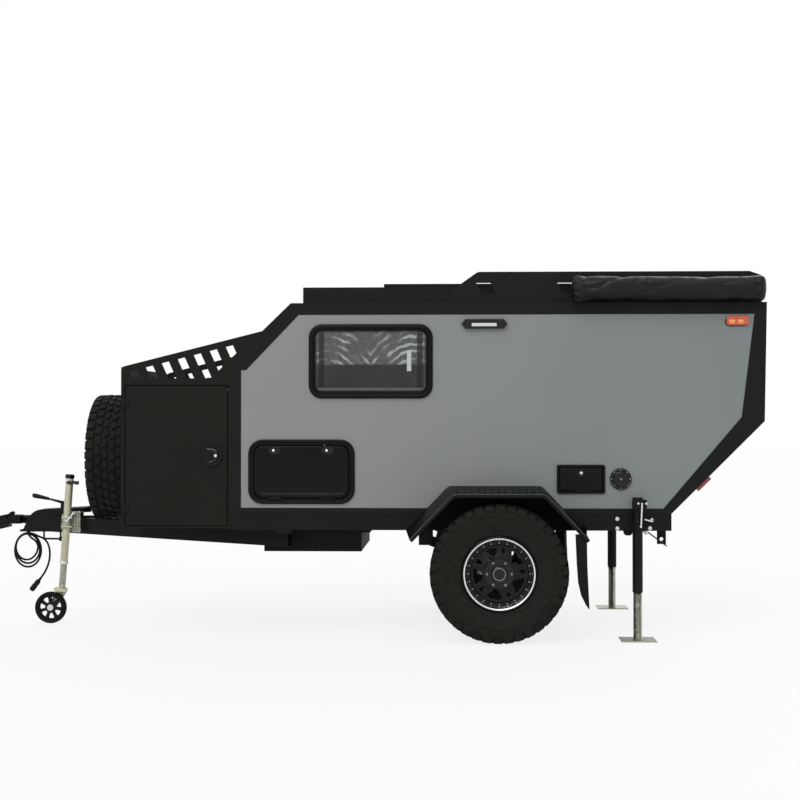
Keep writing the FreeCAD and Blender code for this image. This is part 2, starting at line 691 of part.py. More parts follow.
def make_lights():
    porch = [
        ("-porch_front", "(porch_low + porch_high) / 2"),
        ("-porch_front + porch_point", "porch_low"),
        ("porch_rear - porch_point", "porch_low"),
        ("porch_rear", "(porch_low + porch_high) / 2"),
        ("porch_rear - porch_point", "porch_high"),
        ("-porch_front + porch_point", "porch_high"),
    ]
    outer = "half_width - trim_thick"
    keep("porch_light", side_plate("PorchLight", [porch],
                                   *reach(LEFT, outer, "%s + porch_deep" % outer)))
    markers = []
    for word, side in SIDES.items():
        markers.append(side_plate("Marker_" + word, [
            rectangle("marker_front", "marker_low", "marker_rear", "marker_high",
                      "marker_bend"),
        ], *reach(side, outer, "%s + marker_deep" % outer)))
    keep("side_markers", group("SideMarkers", markers))
    lamps = []
    slope = "(rear_bend_high - floor_low) / (rear_bend - rear_slope)"
    for word, side in SIDES.items():
        # Each lamp lies on the rear slope, its back on the wall's outer face.
        lamp = side_plate("Lamp_" + word, [[
            ("rear_slope + lamp_up", "floor_low + lamp_up * %s" % slope),
            ("rear_slope + lamp_up + lamp_deep / sqrt(2)",
             "floor_low + lamp_up * %s - lamp_deep / sqrt(2)" % slope),
            ("rear_slope + lamp_up + (lamp_deep + lamp_high) / sqrt(2)",
             "floor_low + lamp_up * %s + (lamp_high - lamp_deep) / sqrt(2)" % slope),
            ("rear_slope + lamp_up + lamp_high / sqrt(2)",
             "floor_low + (lamp_up + lamp_high / sqrt(2)) * %s" % slope),
        ]], *reach(side, "half_width - lamp_inset - lamp_long", "half_width - lamp_inset"))
        lamps.append(lamp)
    keep("tail_lamps", group("TailLamps", lamps))
    filler = [
        side_rod("FillerFlange", LEFT, "filler_at", outer, "%s + filler_deep" % outer,
                 "filler_up", "filler_size"),
        side_rod("FillerCap", LEFT, "filler_at", outer,
                 "%s + filler_deep + latch_proud" % outer, "filler_up",
                 "filler_size * 0.7"),
    ]
    keep("water_filler", fuse("WaterFiller", filler))


# Front storage box

BOX_DOOR_FRONT = "(-box_front + box_door_edge)"
BOX_DOOR_REAR = "(-body_front - box_door_inset)"
# The side plate's top edge ends on the cabin's sloping pillar.
BOX_PEAK = "(pillar_foot + (body_front - box_peak_at) * (roof_top - pillar_foot) / pillar_run)"


def make_storage_box():
    face = "half_width - box_sheet"
    sill = "half_width - box_door_thick - move_gap"
    rear = "-body_front"
    shell = []
    for word, side in SIDES.items():
        # The floor stops short of the doors, on sills that drop to the side plates.
        shell.append(side_box("BoxSill_" + word, side, "-box_front", rear,
                              "%s - box_sheet" % sill, sill, "box_low",
                              "box_floor + box_sheet"))
        shell.append(side_box("BoxSillFoot_" + word, side, "-box_front", rear,
                              "%s - box_sheet" % sill, face, "box_low",
                              "box_low + box_sheet"))
    shell += [
        box("BoxFloor", "-box_front", rear, "-(%s)" % sill, sill, "box_floor",
            "box_floor + box_sheet"),
        box("BoxDeck", "-box_front", rear, "-(%s)" % face, face, "box_deck",
            "box_deck + box_sheet"),
        box("BoxBack", "%s - box_sheet" % rear, rear, "-(%s)" % face, face, "box_low",
            "pillar_foot"),
        box("BoxFront", "-box_front", "-box_front + box_sheet", "-(%s)" % face, face,
            "box_floor", "box_lip"),
    ]
    keep("storage_box", fuse("StorageBox", shell))
    plates = []
    for word, side in SIDES.items():
        plate = side_plate("BoxSide_" + word, [
            [
                ("-box_front", "box_low"),
                (rear, "box_low"),
                (rear, "pillar_foot"),
                ("-box_peak_at", BOX_PEAK),
                ("-box_front", "box_lip", "box_lip_bend"),
            ],
            rectangle(BOX_DOOR_FRONT, "box_door_low", BOX_DOOR_REAR,
                      "box_door_high", "box_door_bend"),
        ] + slot_loops(), *reach(side, face, "half_width"))
        parts = [plate]
        door_parts = [side_plate("BoxDoorPanel_" + word, [
            rectangle(BOX_DOOR_FRONT + " + move_gap", "box_door_low + move_gap",
                      BOX_DOOR_REAR + " - move_gap", "box_door_high - move_gap",
                      "box_door_bend"),
        ], *reach(side, "half_width - box_door_thick", "half_width"))]
        for i, share in enumerate((0.12, 0.88)):
            where = "box_door_low + (box_door_high - box_door_low) * %s" % share
            lugs, barrels = upright_hinge(
                "BoxHinge_%s%d" % (word, i), side, BOX_DOOR_FRONT, where, "half_width",
                face, "-box_front + box_sheet")
            parts += lugs
            door_parts += barrels
        door_parts.append(side_rod(
            "BoxLatch_" + word, side, BOX_DOOR_REAR + " - latch_size * 1.55",
            "half_width - box_door_thick", "half_width + latch_proud",
            "(box_door_low + box_door_high) / 2", "latch_size"))
        plates.append(fuse("BoxSide%d" % (side > 0), parts))
        keep("box_door_" + word, fuse("BoxDoor_" + word, door_parts))
    keep("box_sides", group("BoxSides", plates))


def slot_loops():
    """Slanted slots between the deck and the plate's sloping top edge."""
    rise = "(%s - box_lip) / (box_front - box_peak_at)" % BOX_PEAK
    lean = "tan(slot_lean * 1deg)"
    steep = "(roof_top - pillar_foot) / pillar_run"
    loops = []
    for i in range(int(SIZES["slot_count"])):
        front = "(-box_front + slot_inset + slot_pitch * %d)" % i
        # Each slot leans back towards its foot; both ends follow the plate.
        corners = []
        for edge in ("0", "slot_wide"):
            top_x = num("%s + %s" % (front, edge))
            top_z = num("box_lip - slot_margin + (%s + %s + box_front) * %s"
                        % (front, edge, rise))
            fall = num(lean)
            foot_z = num("slot_foot")
            foot_x = top_x + (top_z - foot_z) * fall
            # The foot stops on a line beside the pillar where it would run into it.
            limit = num("pillar_foot + slot_pillar + (%s + body_front) * %s"
                        % (foot_x, steep))
            if foot_z < limit:
                line = num("pillar_foot + slot_pillar + body_front * %s" % steep)
                grade = num(steep)
                foot_x = (top_x + (top_z - line) * fall) / (1 + grade * fall)
                foot_z = line + grade * foot_x
            corners.append(((top_x, top_z), (foot_x, foot_z)))
        (top_a, foot_a), (top_b, foot_b) = corners
        if top_b[1] - foot_b[1] < num("slot_wide") / 2:
            continue
        loops.append([(str(round(p[0], 2)), str(round(p[1], 2)))
                      for p in (foot_a, foot_b, top_b, top_a)])
    return loops


# Chassis

def make_chassis():
    rails = []
    for word, side in SIDES.items():
        near, far = "half_width - rail_wide", "half_width"
        low, depth = reach(side, near, far)
        rails.append(front_plate("Rail_" + word, [
            rectangle(low, "floor_low - rail_high", "(%s) + (%s)" % (low, depth),
                      "floor_low"),
            rectangle("%s + rail_wall" % low, "floor_low - rail_high + rail_wall",
                      "(%s) + (%s) - rail_wall" % (low, depth),
                      "floor_low - rail_wall"),
        ], "-body_front", "body_front + rear_slope"))
    loops = []
    for front in ("-body_front", "-tank_front", "-tank_rear", "damper_at - rail_wide / 2",
                  "rear_slope - rail_wide"):
        loops.append(rectangle(front, "floor_low - rail_high", "%s + rail_wide" % front,
                               "floor_low"))
        loops.append(rectangle("%s + rail_wall" % front,
                               "floor_low - rail_high + rail_wall",
                               "%s + rail_wide - rail_wall" % front,
                               "floor_low - rail_wall"))
    inner = "half_width - rail_wide"
    cross = side_plate("CrossMembers", loops, "-(%s)" % inner, "2 * (%s)" % inner)
    extra = []
    for word, side in SIDES.items():
        # Tail plates with a recovery hole, arm brackets and spring seats.
        tail = side_plate("Tail_" + word, [
            rectangle("tail_front", "tail_low", "tail_rear", "floor_low - rail_high"),
        ], *reach(side, "tail_at", "tail_at + tail_sheet"))
        hole = side_rod("TailHole_" + word, side, "(tail_front + tail_rear) / 2",
                        "tail_at", "tail_at + tail_sheet", "tail_low + 30", "tail_hole")
        extra.append(cut("TailCut_" + word, tail, [hole]))
        for i, near in enumerate(("arm_inner - tail_sheet - fit_gap",
                                  "arm_inner + arm_size + fit_gap")):
            bracket = side_box("ArmBracket_%s%d" % (word, i), side,
                               "-arm_pivot_at - arm_size * 0.7",
                               "-arm_pivot_at + arm_size * 0.7", near,
                               "%s + tail_sheet" % near,
                               "arm_pivot_up - arm_size * 0.6",
                               "floor_low - rail_high")
            extra.append(bracket)
        extra.append(side_box("ArmTie_" + word, side, "-arm_pivot_at - arm_size * 0.7",
                              "-arm_pivot_at + arm_size * 0.7",
                              "arm_inner - tail_sheet - fit_gap", "half_width",
                              "floor_low - rail_high - tail_sheet",
                              "floor_low - rail_high"))
        extra.append(side_box("SpringSeat_" + word, side,
                              "-spring_at - spring_radius * 1.3",
                              "-spring_at + spring_radius * 1.3",
                              "arm_inner - spring_radius / 2", "half_width",
                              "spring_top", "floor_low - rail_high"))
    keep("chassis_frame", fuse("ChassisFrame", rails + [cross] + extra))


def make_drawbar():
    beams = []
    for side in (LEFT, RIGHT):
        tip = at("-drawbar_tip", "0", "drawbar_tip_low")
        end = at("-drawbar_end", "drawbar_spread * %d" % side, "drawbar_end_low")
        beams.append(skew_bar(tip, end, num("rail_wide"), num("rail_high"),
                              num("rail_wall")))
    nose = side_plate("DrawbarNose", [[
        ("-nose_front - nose_flare", "nose_low"),
        ("-nose_rear", "nose_low"),
        ("-nose_rear", "nose_high"),
        ("-nose_front + nose_flare * 0.8", "nose_high"),
        ("-nose_front", "nose_high - nose_flare * 0.7"),
        ("-nose_front", "nose_low + 12"),
        ("-nose_front - nose_flare", "nose_low + 12"),
    ]], "-nose_half", "2 * nose_half")
    ends = []
    for word, side in SIDES.items():
        # Pads that carry the body's frame on the drawbar's rear ends.
        ends.append(side_box("DrawbarPad_" + word, side, "-drawbar_end - rail_wide * 1.5",
                             "-drawbar_end + rail_wide / 2",
                             "drawbar_spread - rail_wide * 1.5", "half_width",
                             "drawbar_end_low + rail_high - 10",
                             "floor_low - rail_high"))
        ends.append(side_box("BoxBearer_" + word, side, "-body_front - rail_wide * 2",
                             "-body_front - box_sheet", "drawbar_spread / 2.6",
                             "half_width - box_door_thick - move_gap - box_sheet",
                             "box_floor - 30", "box_floor"))
    neck = rod("HitchNeck", ALONG_X, "-neck_tip", "0", "hitch_up", "neck_radius",
               "neck_tip - nose_front + nose_flare")
    bars = shaped("DrawbarBars", beams[0].fuse(beams[1]))
    bore = rod("HitchBore", ALONG_X, "-neck_tip", "0", "hitch_up",
               "spindle_radius + pin_play", "spindle_deep + move_gap")
    whole = cut("Drawbar", fuse("DrawbarWhole", [bars, nose, neck] + ends), [bore])
    hanger = box("CableHanger", "-coil_at - 6", "-coil_at + 40", "-cable_y - 6",
                 "-cable_y + 6", "coil_up + coil_tall / 2", "nose_low")
    keep("drawbar", fuse("DrawbarHanger", [whole, hanger]))


def make_tank():
    tank = [
        box("TankBody", "-tank_front", "-tank_rear", "-tank_half", "tank_half",
            "tank_low", "tank_flange"),
        box("TankFlange", "-tank_front", "-tank_flange_rear", "-tank_half - 12",
            "tank_half + 12", "tank_flange", "floor_low - rail_high"),
    ]
    keep("water_tank", fuse("WaterTank", tank))


# Wheels and running gear

def revolve(name, corners):
    """A ring about the wheel's own Y axis: corners are (along the axle, radius)."""
    body = new_body(name)
    sketch = sketch_on(body, "YZ_Plane", [corners])
    feature = body.newObject("PartDesign::Revolution", "Revolution")
    feature.Profile = sketch
    feature.ReferenceAxis = (origin_feature(body, "Y_Axis"), [""])
    feature.Angle = 360
    body.Tip = feature
    doc.recompute()
    return body


def polar(body, feature, count, pivot):
    pattern = body.newObject("PartDesign::PolarPattern", "Pattern")
    pattern.Originals = [feature]
    pattern.Axis = (origin_feature(body, pivot), [""])
    pattern.Angle = 360
    pattern.Occurrences = count
    body.Tip = pattern
    return pattern


def ring_points(along, radius, count, turn=0, flat=False):
    """Corners of one ring about the Y axis; flat sides reach the radius, not corners."""
    if flat:
        radius = radius / math.cos(math.pi / count)
    steps = [math.radians(turn) + 2 * math.pi * i / count for i in range(count)]
    return [V(radius * math.sin(a), along, -radius * math.cos(a)) for a in steps]


def flat_face(*loops):
    """A plane face between closed loops of corners, the outer one first."""
    wires = [Part.makePolygon(loop + loop[:1]) for loop in loops]
    return Part.makeFace(wires, "Part::FaceMakerBullseye")


def band(ring, other):
    """Plane faces between two rings of as many corners."""
    count = len(ring)
    return [flat_face([ring[i], ring[(i + 1) % count], other[(i + 1) % count], other[i]])
            for i in range(count)]


def tyre_shape():
    """A closed tyre with square lugs across its tread, all of plane faces."""
    out, wall = num("tyre_wide / 2"), num("tyre_wall")
    bead = num("rim_wide / 2 - 8 - fit_gap")
    seat = num("rim_radius + fit_gap")
    lip = num("rim_lip + 2 * fit_gap")
    radius, deep = num("tyre_radius"), num("lug_deep")
    lugs = int(num("tread_lugs"))
    edge, shoulder = 0.95 * out, 0.6 * out
    # Across the tread, a lug and the gap behind it have the same four places.
    tread = [(-edge, radius - num("tread_fall")), (-shoulder, radius), (shoulder, radius),
             (edge, radius - num("tread_fall"))]
    half = math.pi / (2 * lugs)
    reach = 1 / math.cos(half)

    def across(angle, lower):
        return [V((r * reach - lower) * math.sin(angle), y,
                  -(r * reach - lower) * math.cos(angle)) for y, r in tread]

    faces = []
    rims = {0: [], 3: []}
    for i in range(2 * lugs):
        lower = deep * (i % 2)
        start, end = across((2 * i - 1) * half, lower), across((2 * i + 1) * half, lower)
        for j in range(3):
            faces.append(flat_face([start[j], start[j + 1], end[j + 1], end[j]]))
        other = across((2 * i + 1) * half, deep - lower)
        faces.append(flat_face(end + other[::-1]))
        for j in rims:
            rims[j] += [start[j], end[j]]
    middle = num("(rim_lip + tyre_radius) / 2")
    inner = []
    for way, j in ((-1, 0), (1, 3)):
        walls = [ring_points(way * y, r, lugs, flat=True) for y, r in (
            (edge, radius - num("tread_edge")), (out, middle), (0.89 * out, num("rim_lip + 8")),
            (bead, lip), (bead, seat), (0.62 * out, seat),
            (0.8 * out - wall, radius - num("tread_edge") - wall))]
        faces.append(flat_face(rims[j], walls[0]))
        for k in (0, 1, 2, 4, 5):
            faces += band(walls[k], walls[k + 1])
        faces.append(flat_face(walls[3], walls[4]))
        inner.append(walls[6])
    faces += band(inner[0], inner[1])
    shell = Part.makeShell(faces)
    shell.sewShape()
    shell.fix(1e-4, 1e-4, 1e-3)
    solid = Part.makeSolid(shell.Shells[0])
    if solid.Volume < 0:
        solid.reverse()
    print("tyre", len(faces), "faces", solid.isValid(), round(solid.Volume / 1e6, 2))
    return solid


def rim_corners():
    half = "rim_wide / 2"
    return [
        ("-(%s)" % half, "rim_lip"),
        ("-(%s) + 4" % half, "rim_lip"),
        ("-(%s) + 8" % half, "rim_radius"),
        ("(%s) - 8" % half, "rim_radius"),
        ("(%s) - 4" % half, "rim_lip"),
        (half, "rim_lip"),
        (half, "rim_lip - rim_wall"),
        ("(%s) - 6" % half, "rim_radius - rim_wall"),
        ("-disc_outer + disc_thick", "rim_radius - rim_wall"),
        ("-disc_outer + disc_thick", "hub_pad"),
        ("0", "hub_pad"),
        ("0", "hub_hole"),
        ("-disc_outer - disc_thick * 0.6", "hub_hole"),
        ("-disc_outer - disc_thick * 0.6", "hub_pad * 0.8"),
        ("-disc_outer", "hub_pad"),
        ("-disc_outer", "rim_radius - rim_wall"),
        ("-(%s) + 6" % half, "rim_radius - rim_wall"),
        ("-(%s)" % half, "rim_lip - rim_wall"),
    ]


def make_wheel(name, place):
    """A tyre and a five-window rim about the local Y axis, outer face at -Y."""
    tyre = shaped("Tyre_" + name, tyre_shape())
    rim = revolve("Rim_" + name, rim_corners())
    window = []
    for far, half, turn, corner in (
            ("window_in", "window_half_in", "+", None),
            ("window_in", "window_half_in", "-", None),
            ("window_out", "window_half_out", "-", "window_corner"),
            ("window_out", "window_half_out", "+", "window_corner")):
        angle = "(window_turn %s %s) * 1deg" % (turn, half)
        place_at = ("-%s * sin(%s)" % (far, angle), "%s * cos(%s)" % (far, angle))
        window.append(place_at + ((corner,) if corner else ()))
    sketch = sketch_on(rim, "XZ_Plane", [window], "Window")
    pocket = rim.newObject("PartDesign::Pocket", "WindowPocket")
    pocket.Profile = sketch
    pocket.setExpression("Length", expr("rim_wide"))
    pocket.Midplane = True
    doc.recompute()
    polar(rim, pocket, 5, "Y_Axis")
    for piece in (tyre, rim):
        piece.Placement = place
    keep("tyre_" + name, tyre)
    keep("rim_" + name, rim)


def make_running_gear():
    for word, side in SIDES.items():
        turn = FreeCAD.Rotation(UPWARD, 0 if side == LEFT else 180)
        place = FreeCAD.Placement(
            at("0", "track_half * %d" % side, "tyre_radius"), turn)
        make_wheel(word, place)
        hub = [
            side_rod("Drum_" + word, side, "0", "track_half - drum_deep",
                     "track_half - fit_gap", "tyre_radius", "drum_radius"),
            side_rod("HubNose_" + word, side, "0", "track_half - drum_deep",
                     "track_half + cap_proud", "tyre_radius", "hub_hole - fit_gap"),
        ]
        bore = side_rod("HubBore_" + word, side, "0", "track_half - drum_deep",
                        "track_half + disc_outer", "tyre_radius",
                        "axle_radius + pin_play")
        keep("hub_" + word, cut("Hub_" + word, fuse("HubBody_" + word, hub), [bore]))
    arms, springs, dampers = [], [], []
    for word, side in SIDES.items():
        middle = "(arm_inner + arm_size / 2) * %d" % side
        pivot = at("-arm_pivot_at", middle, "arm_pivot_up - arm_size / 2")
        grade = num("(arm_pivot_up - tyre_radius) / arm_pivot_at")
        tail = at("arm_tail", middle, "arm_pivot_up - arm_size / 2 - %s * (arm_pivot_at"
                  " + arm_tail)" % grade)
        bar = shaped("ArmBar_" + word, skew_bar(pivot, tail, num("arm_size"),
                                                num("arm_size")))
        stub = side_rod("Stub_" + word, side, "0", "arm_inner + arm_size / 2",
                        "track_half + disc_outer / 2", "tyre_radius", "axle_radius")
        collar = side_rod("Collar_" + word, side, "0", "arm_inner",
                          "track_half - drum_deep - move_gap", "tyre_radius",
                          "axle_radius * 1.8")
        seat = rod("ArmSeat_" + word, ALONG_Z, "-spring_at", middle, "tyre_radius + 60",
                   "spring_radius", "spring_foot - tyre_radius - 60")
        post = rod("DamperFoot_" + word, ALONG_Z, "damper_at",
                   "(arm_inner + 14) * %d" % side, "tyre_radius", "12", "50")
        arms.append(fuse("Arm_" + word, [bar, stub, collar, seat, post]))
        spring = rod("Spring_" + word, ALONG_Z, "-spring_at", middle, "spring_foot",
                     "spring_radius", "spring_top - spring_foot")
        core = rod("SpringCore_" + word, ALONG_Z, "-spring_at", middle, "spring_foot",
                   "spring_radius - spring_wire", "spring_top - spring_foot")
        springs.append(cut("SpringTube_" + word, spring, [core]))
        dampers.append(rod("Damper_" + word, ALONG_Z, "damper_at",
                           "(arm_inner + 14) * %d" % side, "tyre_radius + 50",
                           "damper_radius",
                           "floor_low - rail_high - tyre_radius - 50"))
    keep("suspension_arms", group("SuspensionArms", arms))
    keep("springs_and_dampers", group("SpringsDampers", springs + dampers))


def make_fenders():
    run = "(fender_foot - fender_flat)"
    rise = "(fender_top - fender_low)"
    slant = "hypot(%s; %s)" % (run, rise)

    def arch(thick):
        """The fender's three-sided outline, inset by a sheet or a lip."""
        foot = "fender_foot - (%s) * %s / %s" % (thick, slant, rise)
        flat = "fender_flat - (%s) * (%s - %s) / %s" % (thick, slant, run, rise)
        top = "fender_top - (%s)" % thick
        return [("-(%s)" % foot, "fender_low"), ("-(%s)" % flat, top), (flat, top),
                (foot, "fender_low")]

    fenders, flaps = [], []
    for word, side in SIDES.items():
        loop = arch("0") + list(reversed(arch("fender_sheet")))
        skin = side_plate("FenderSkin_" + word, [loop],
                          *reach(side, "half_width", "fender_out"))
        skirt = side_plate("FenderSkirt_" + word,
                           [arch("0") + list(reversed(arch("fender_lip")))],
                           *reach(side, "fender_out - fender_sheet", "fender_out"))
        flange = side_box("FenderFlange_" + word, side, "-fender_flat", "fender_flat",
                          "half_width - trim_thick", "half_width + 1",
                          "fender_top - fender_sheet", "fender_top + fender_flange")
        fenders.append(fuse("Fender_" + word, [skin, skirt, flange]))
        top = "fender_top - (flap_at - fender_flat) * %s / %s - fender_sheet * %s / %s" % (
            rise, run, slant, run)
        flaps.append(side_plate("MudFlap_" + word, [[
            ("flap_at", top),
            ("flap_mid_at", "flap_mid"),
            ("flap_tip", "flap_low"),
            ("flap_tip + flap_thick", "flap_low"),
            ("flap_mid_at + flap_thick", "flap_mid"),
            ("flap_at + flap_thick", "%s - flap_thick * %s / %s" % (top, rise, run)),
        ]], *reach(side, "half_width + flap_in", "fender_out - flap_edge")))
    keep("fenders", group("Fenders", fenders))
    keep("mud_flaps", group("MudFlaps", flaps))


# Steadying legs

def make_legs():
    mounts = []
    for word, side in SIDES.items():
        mounts.append(fuse("LegMount_" + word, [
            side_box("LegPlate_" + word, side, "leg_at - leg_plate_half",
                     "leg_at + leg_plate_half", "half_width", "half_width + leg_plate",
                     "floor_low - rail_high", "floor_low"),
            side_rod("LegPin_" + word, side, "leg_at", "half_width",
                     "leg_y + leg_radius + move_gap", "leg_pin_up", "leg_pin"),
            side_rod("LegCollar_" + word, side, "leg_at", "half_width",
                     "leg_y - leg_radius - fit_gap", "leg_pin_up", "leg_pin * 2"),
        ]))
        y = "leg_y * %d" % side
        tube = rod("LegTube_" + word, ALONG_Z, "leg_at", y, "leg_bottom", "leg_radius",
                   "leg_top - leg_bottom")
        core = rod("LegCore_" + word, ALONG_Z, "leg_at", y, "leg_bottom",
                   "leg_radius - leg_wall", "leg_top - leg_bottom - leg_wall")
        bore = side_rod("LegBore_" + word, side, "leg_at", "leg_y - leg_radius",
                        "leg_y + leg_radius", "leg_pin_up", "leg_pin + pin_play")
        keep("leg_outer_" + word, cut("LegOuter_" + word, tube, [core, bore]))
        inner = rod("LegInner_" + word, ALONG_Z, "leg_at", y, "foot_thick", "leg_inner",
                    "leg_inner_top - foot_thick")
        foot = side_box("LegFoot_" + word, side, "leg_at - foot_long / 2",
                        "leg_at + foot_long / 2", "leg_y - foot_wide / 2",
                        "leg_y + foot_wide / 2", "0", "foot_thick")
        keep("leg_inner_" + word, fuse("LegInnerWhole_" + word, [inner, foot]))
    keep("leg_mounts", group("LegMounts", mounts))


# Jack and jockey wheel

def jack_frame():
    """Frame on the jack's leaning axis, level with the jockey wheel's axle."""
    lean = math.radians(num("jack_lean"))
    trail = num("jockey_trail")
    wheel = at("-jockey_at", "-jockey_y", "jockey_radius")
    base = wheel + V(trail * math.cos(lean), 0, -trail * math.sin(lean))
    return FreeCAD.Placement(base, FreeCAD.Rotation(ACROSS, num("jack_lean")))


def local_rod(name, turn, x, y, z, radius, length):
    """A cylinder in the jack's own frame."""
    piece = doc.addObject("Part::Cylinder", name)
    frame = jack_frame()
    piece.setExpression("Radius", expr(radius))
    piece.setExpression("Height", expr(length))
    piece.Placement = frame.multiply(
        FreeCAD.Placement(V(num(x), num(y), num(z)), turn))
    return piece


def local_box(name, x0, x1, y0, y1, z0, z1):
    piece = doc.addObject("Part::Box", name)
    piece.setExpression("Length", expr("(%s) - (%s)" % (x1, x0)))
    piece.setExpression("Width", expr("(%s) - (%s)" % (y1, y0)))
    piece.setExpression("Height", expr("(%s) - (%s)" % (z1, z0)))
    piece.Placement = jack_frame().multiply(
        FreeCAD.Placement(V(num(x0), num(y0), num(z0)), FreeCAD.Rotation()))
    return piece


def make_jack():
    tube = local_rod("JackTube", ALONG_Z, "0", "0", "jack_low", "jack_radius",
                     "jack_high - jack_low")
    core = local_rod("JackCore", ALONG_Z, "0", "0", "jack_low", "jack_radius - jack_wall",
                     "jack_high - jack_low - jack_radius")
    cap = local_rod("JackCap", ALONG_Z, "0", "0", "jack_high - jack_radius",
                    "jack_radius + 4", "jack_radius * 1.6")
    arm = local_rod("CrankArm", ALONG_X, "jack_radius - jack_wall / 2", "0", "crank_up", "7",
                    "crank_reach / 2")
    grip = local_rod("CrankGrip", ALONG_X, "jack_radius + 4", "0",
                     "crank_up", "grip_radius", "crank_reach")
    whole = cut("JackTubeWhole", fuse("JackBody", [tube, cap]), [core])
    keep("jack_tube", fuse("JackTubeCrank", [whole, arm, grip]))
    # The clamp is bolted to the drawbar's left rail and grips the tube.
    angle = math.degrees(math.atan2(num("-drawbar_spread"),
                                    num("drawbar_tip - drawbar_end")))
    frame = jack_frame()
    centre = frame.multVec(V(0, 0, num("(clamp_low + clamp_high) / 2")))
    along = V(math.cos(math.radians(angle)), math.sin(math.radians(angle)), 0)
    outward = V(math.sin(math.radians(angle)), -math.cos(math.radians(angle)), 0)
    tip = at("-drawbar_tip", "0", "0")
    gap = (centre - tip).dot(outward) - num("rail_wide") / 2
    start = tip + along * ((centre - tip).dot(along) - num("jack_radius"))
    start += outward * num("rail_wide") / 2
    corners = [
        start,
        start + along * num("clamp_long"),
        start + along * num("clamp_long") + outward * num("clamp_deep"),
        start + outward * (gap + num("jack_radius") * 0.6),
    ]
    block = Part.Face(Part.makePolygon(corners + corners[:1]))
    block.translate(UPWARD * (centre.z - num("(clamp_high - clamp_low) / 2")))
    block = block.extrude(UPWARD * num("clamp_high - clamp_low"))
    clamp = fuse("ClampBody", [
        shaped("ClampBlock", block),
        local_rod("ClampRing", ALONG_Z, "0", "0", "clamp_low + 25",
                  "jack_radius + 12", "clamp_high - clamp_low - 50"),
    ])
    bore = local_rod("ClampBore", ALONG_Z, "0", "0", "clamp_low - 20",
                     "jack_radius + fit_gap", "clamp_high - clamp_low + 40")
    keep("jack_clamp", cut("JackClamp", clamp, [bore]))
    inner = [
        local_rod("InnerTube", ALONG_Z, "0", "0", "fork_top + fit_gap", "jack_inner",
                  "jack_inner_top - fork_top"),
        local_rod("SwivelPin", ALONG_Z, "0", "0", "jockey_radius + move_gap",
                  "swivel_pin", "fork_top - jockey_radius"),
    ]
    keep("jack_inner_tube", fuse("JackInner", inner))
    half = "jockey_wide / 2 + move_gap"
    plates = []
    for word, side in SIDES.items():
        low, depth = reach(side, half, "%s + fork_plate" % half)
        plate = new_body("ForkPlate_" + word)
        pad(plate, sketch_on(plate, "XZ_Plane", [[
            ("-jockey_trail - jockey_hub", "-jockey_hub * 0.8"),
            ("-jockey_trail + jockey_hub", "-jockey_hub * 0.8"),
            ("jockey_hub", "fork_top - fork_plate"),
            ("jockey_hub", "fork_top"),
            ("-jockey_hub * 1.6", "fork_top"),
            ("-jockey_trail - jockey_hub", "jockey_hub"),
        ]]), depth, reverse=True)
        plate.Placement = jack_frame().multiply(
            FreeCAD.Placement(V(0, num(low), 0), FreeCAD.Rotation()))
        plates.append(plate)
    crown = local_box("ForkCrown", "-jockey_hub * 1.6", "jockey_hub", "-(%s)" % half, half,
                      "jockey_radius + move_gap", "fork_top")
    pivot = local_rod("ForkAxle", ALONG_Y, "-jockey_trail", "-(%s)" % half, "0",
                      "fork_pin", "2 * (%s)" % half)
    bore = local_rod("ForkBore", ALONG_Z, "0", "0", "jockey_radius + move_gap",
                     "swivel_pin + pin_play", "fork_top - jockey_radius")
    keep("jockey_fork", cut("JockeyFork", fuse("ForkBody", plates + [crown, pivot]),
                            [bore]))
    make_jockey_wheel()


def make_jockey_wheel():
    half = "jockey_wide / 2"
    wheel = revolve("JockeyWheel", [
        ("-(%s)" % half, "jockey_radius - 10"),
        ("-(%s) * 0.7" % half, "jockey_radius"),
        ("(%s) * 0.7" % half, "jockey_radius"),
        (half, "jockey_radius - 10"),
        (half, "jockey_hole_out"),
        ("(%s) * 0.3" % half, "jockey_hole_out - 4"),
        ("(%s) * 0.3" % half, "jockey_hub"),
        (half, "jockey_hub - 4"),
        (half, "fork_pin + pin_play"),
        ("-(%s)" % half, "fork_pin + pin_play"),
        ("-(%s)" % half, "jockey_hub - 4"),
        ("-(%s) * 0.3" % half, "jockey_hub"),
        ("-(%s) * 0.3" % half, "jockey_hole_out - 4"),
        ("-(%s)" % half, "jockey_hole_out"),
    ])
    hole = [
        ("-jockey_hole_in * 0.18", "jockey_hole_in", "jockey_hole_bend"),
        ("jockey_hole_in * 0.18", "jockey_hole_in", "jockey_hole_bend"),
        ("jockey_hole_out * 0.27", "jockey_hole_out - 9", "jockey_hole_bend"),
        ("-jockey_hole_out * 0.27", "jockey_hole_out - 9", "jockey_hole_bend"),
    ]
    sketch = sketch_on(wheel, "XZ_Plane", [hole], "Hole")
    pocket = wheel.newObject("PartDesign::Pocket", "HolePocket")
    pocket.Profile = sketch
    pocket.setExpression("Length", expr("jockey_wide * 2"))
    pocket.Midplane = True
    doc.recompute()
    polar(wheel, pocket, 7, "Y_Axis")
    wheel.Placement = FreeCAD.Placement(at("-jockey_at", "-jockey_y", "jockey_radius"),
                                        FreeCAD.Rotation())
    keep("jockey_wheel", wheel)


# Coupling and handbrake

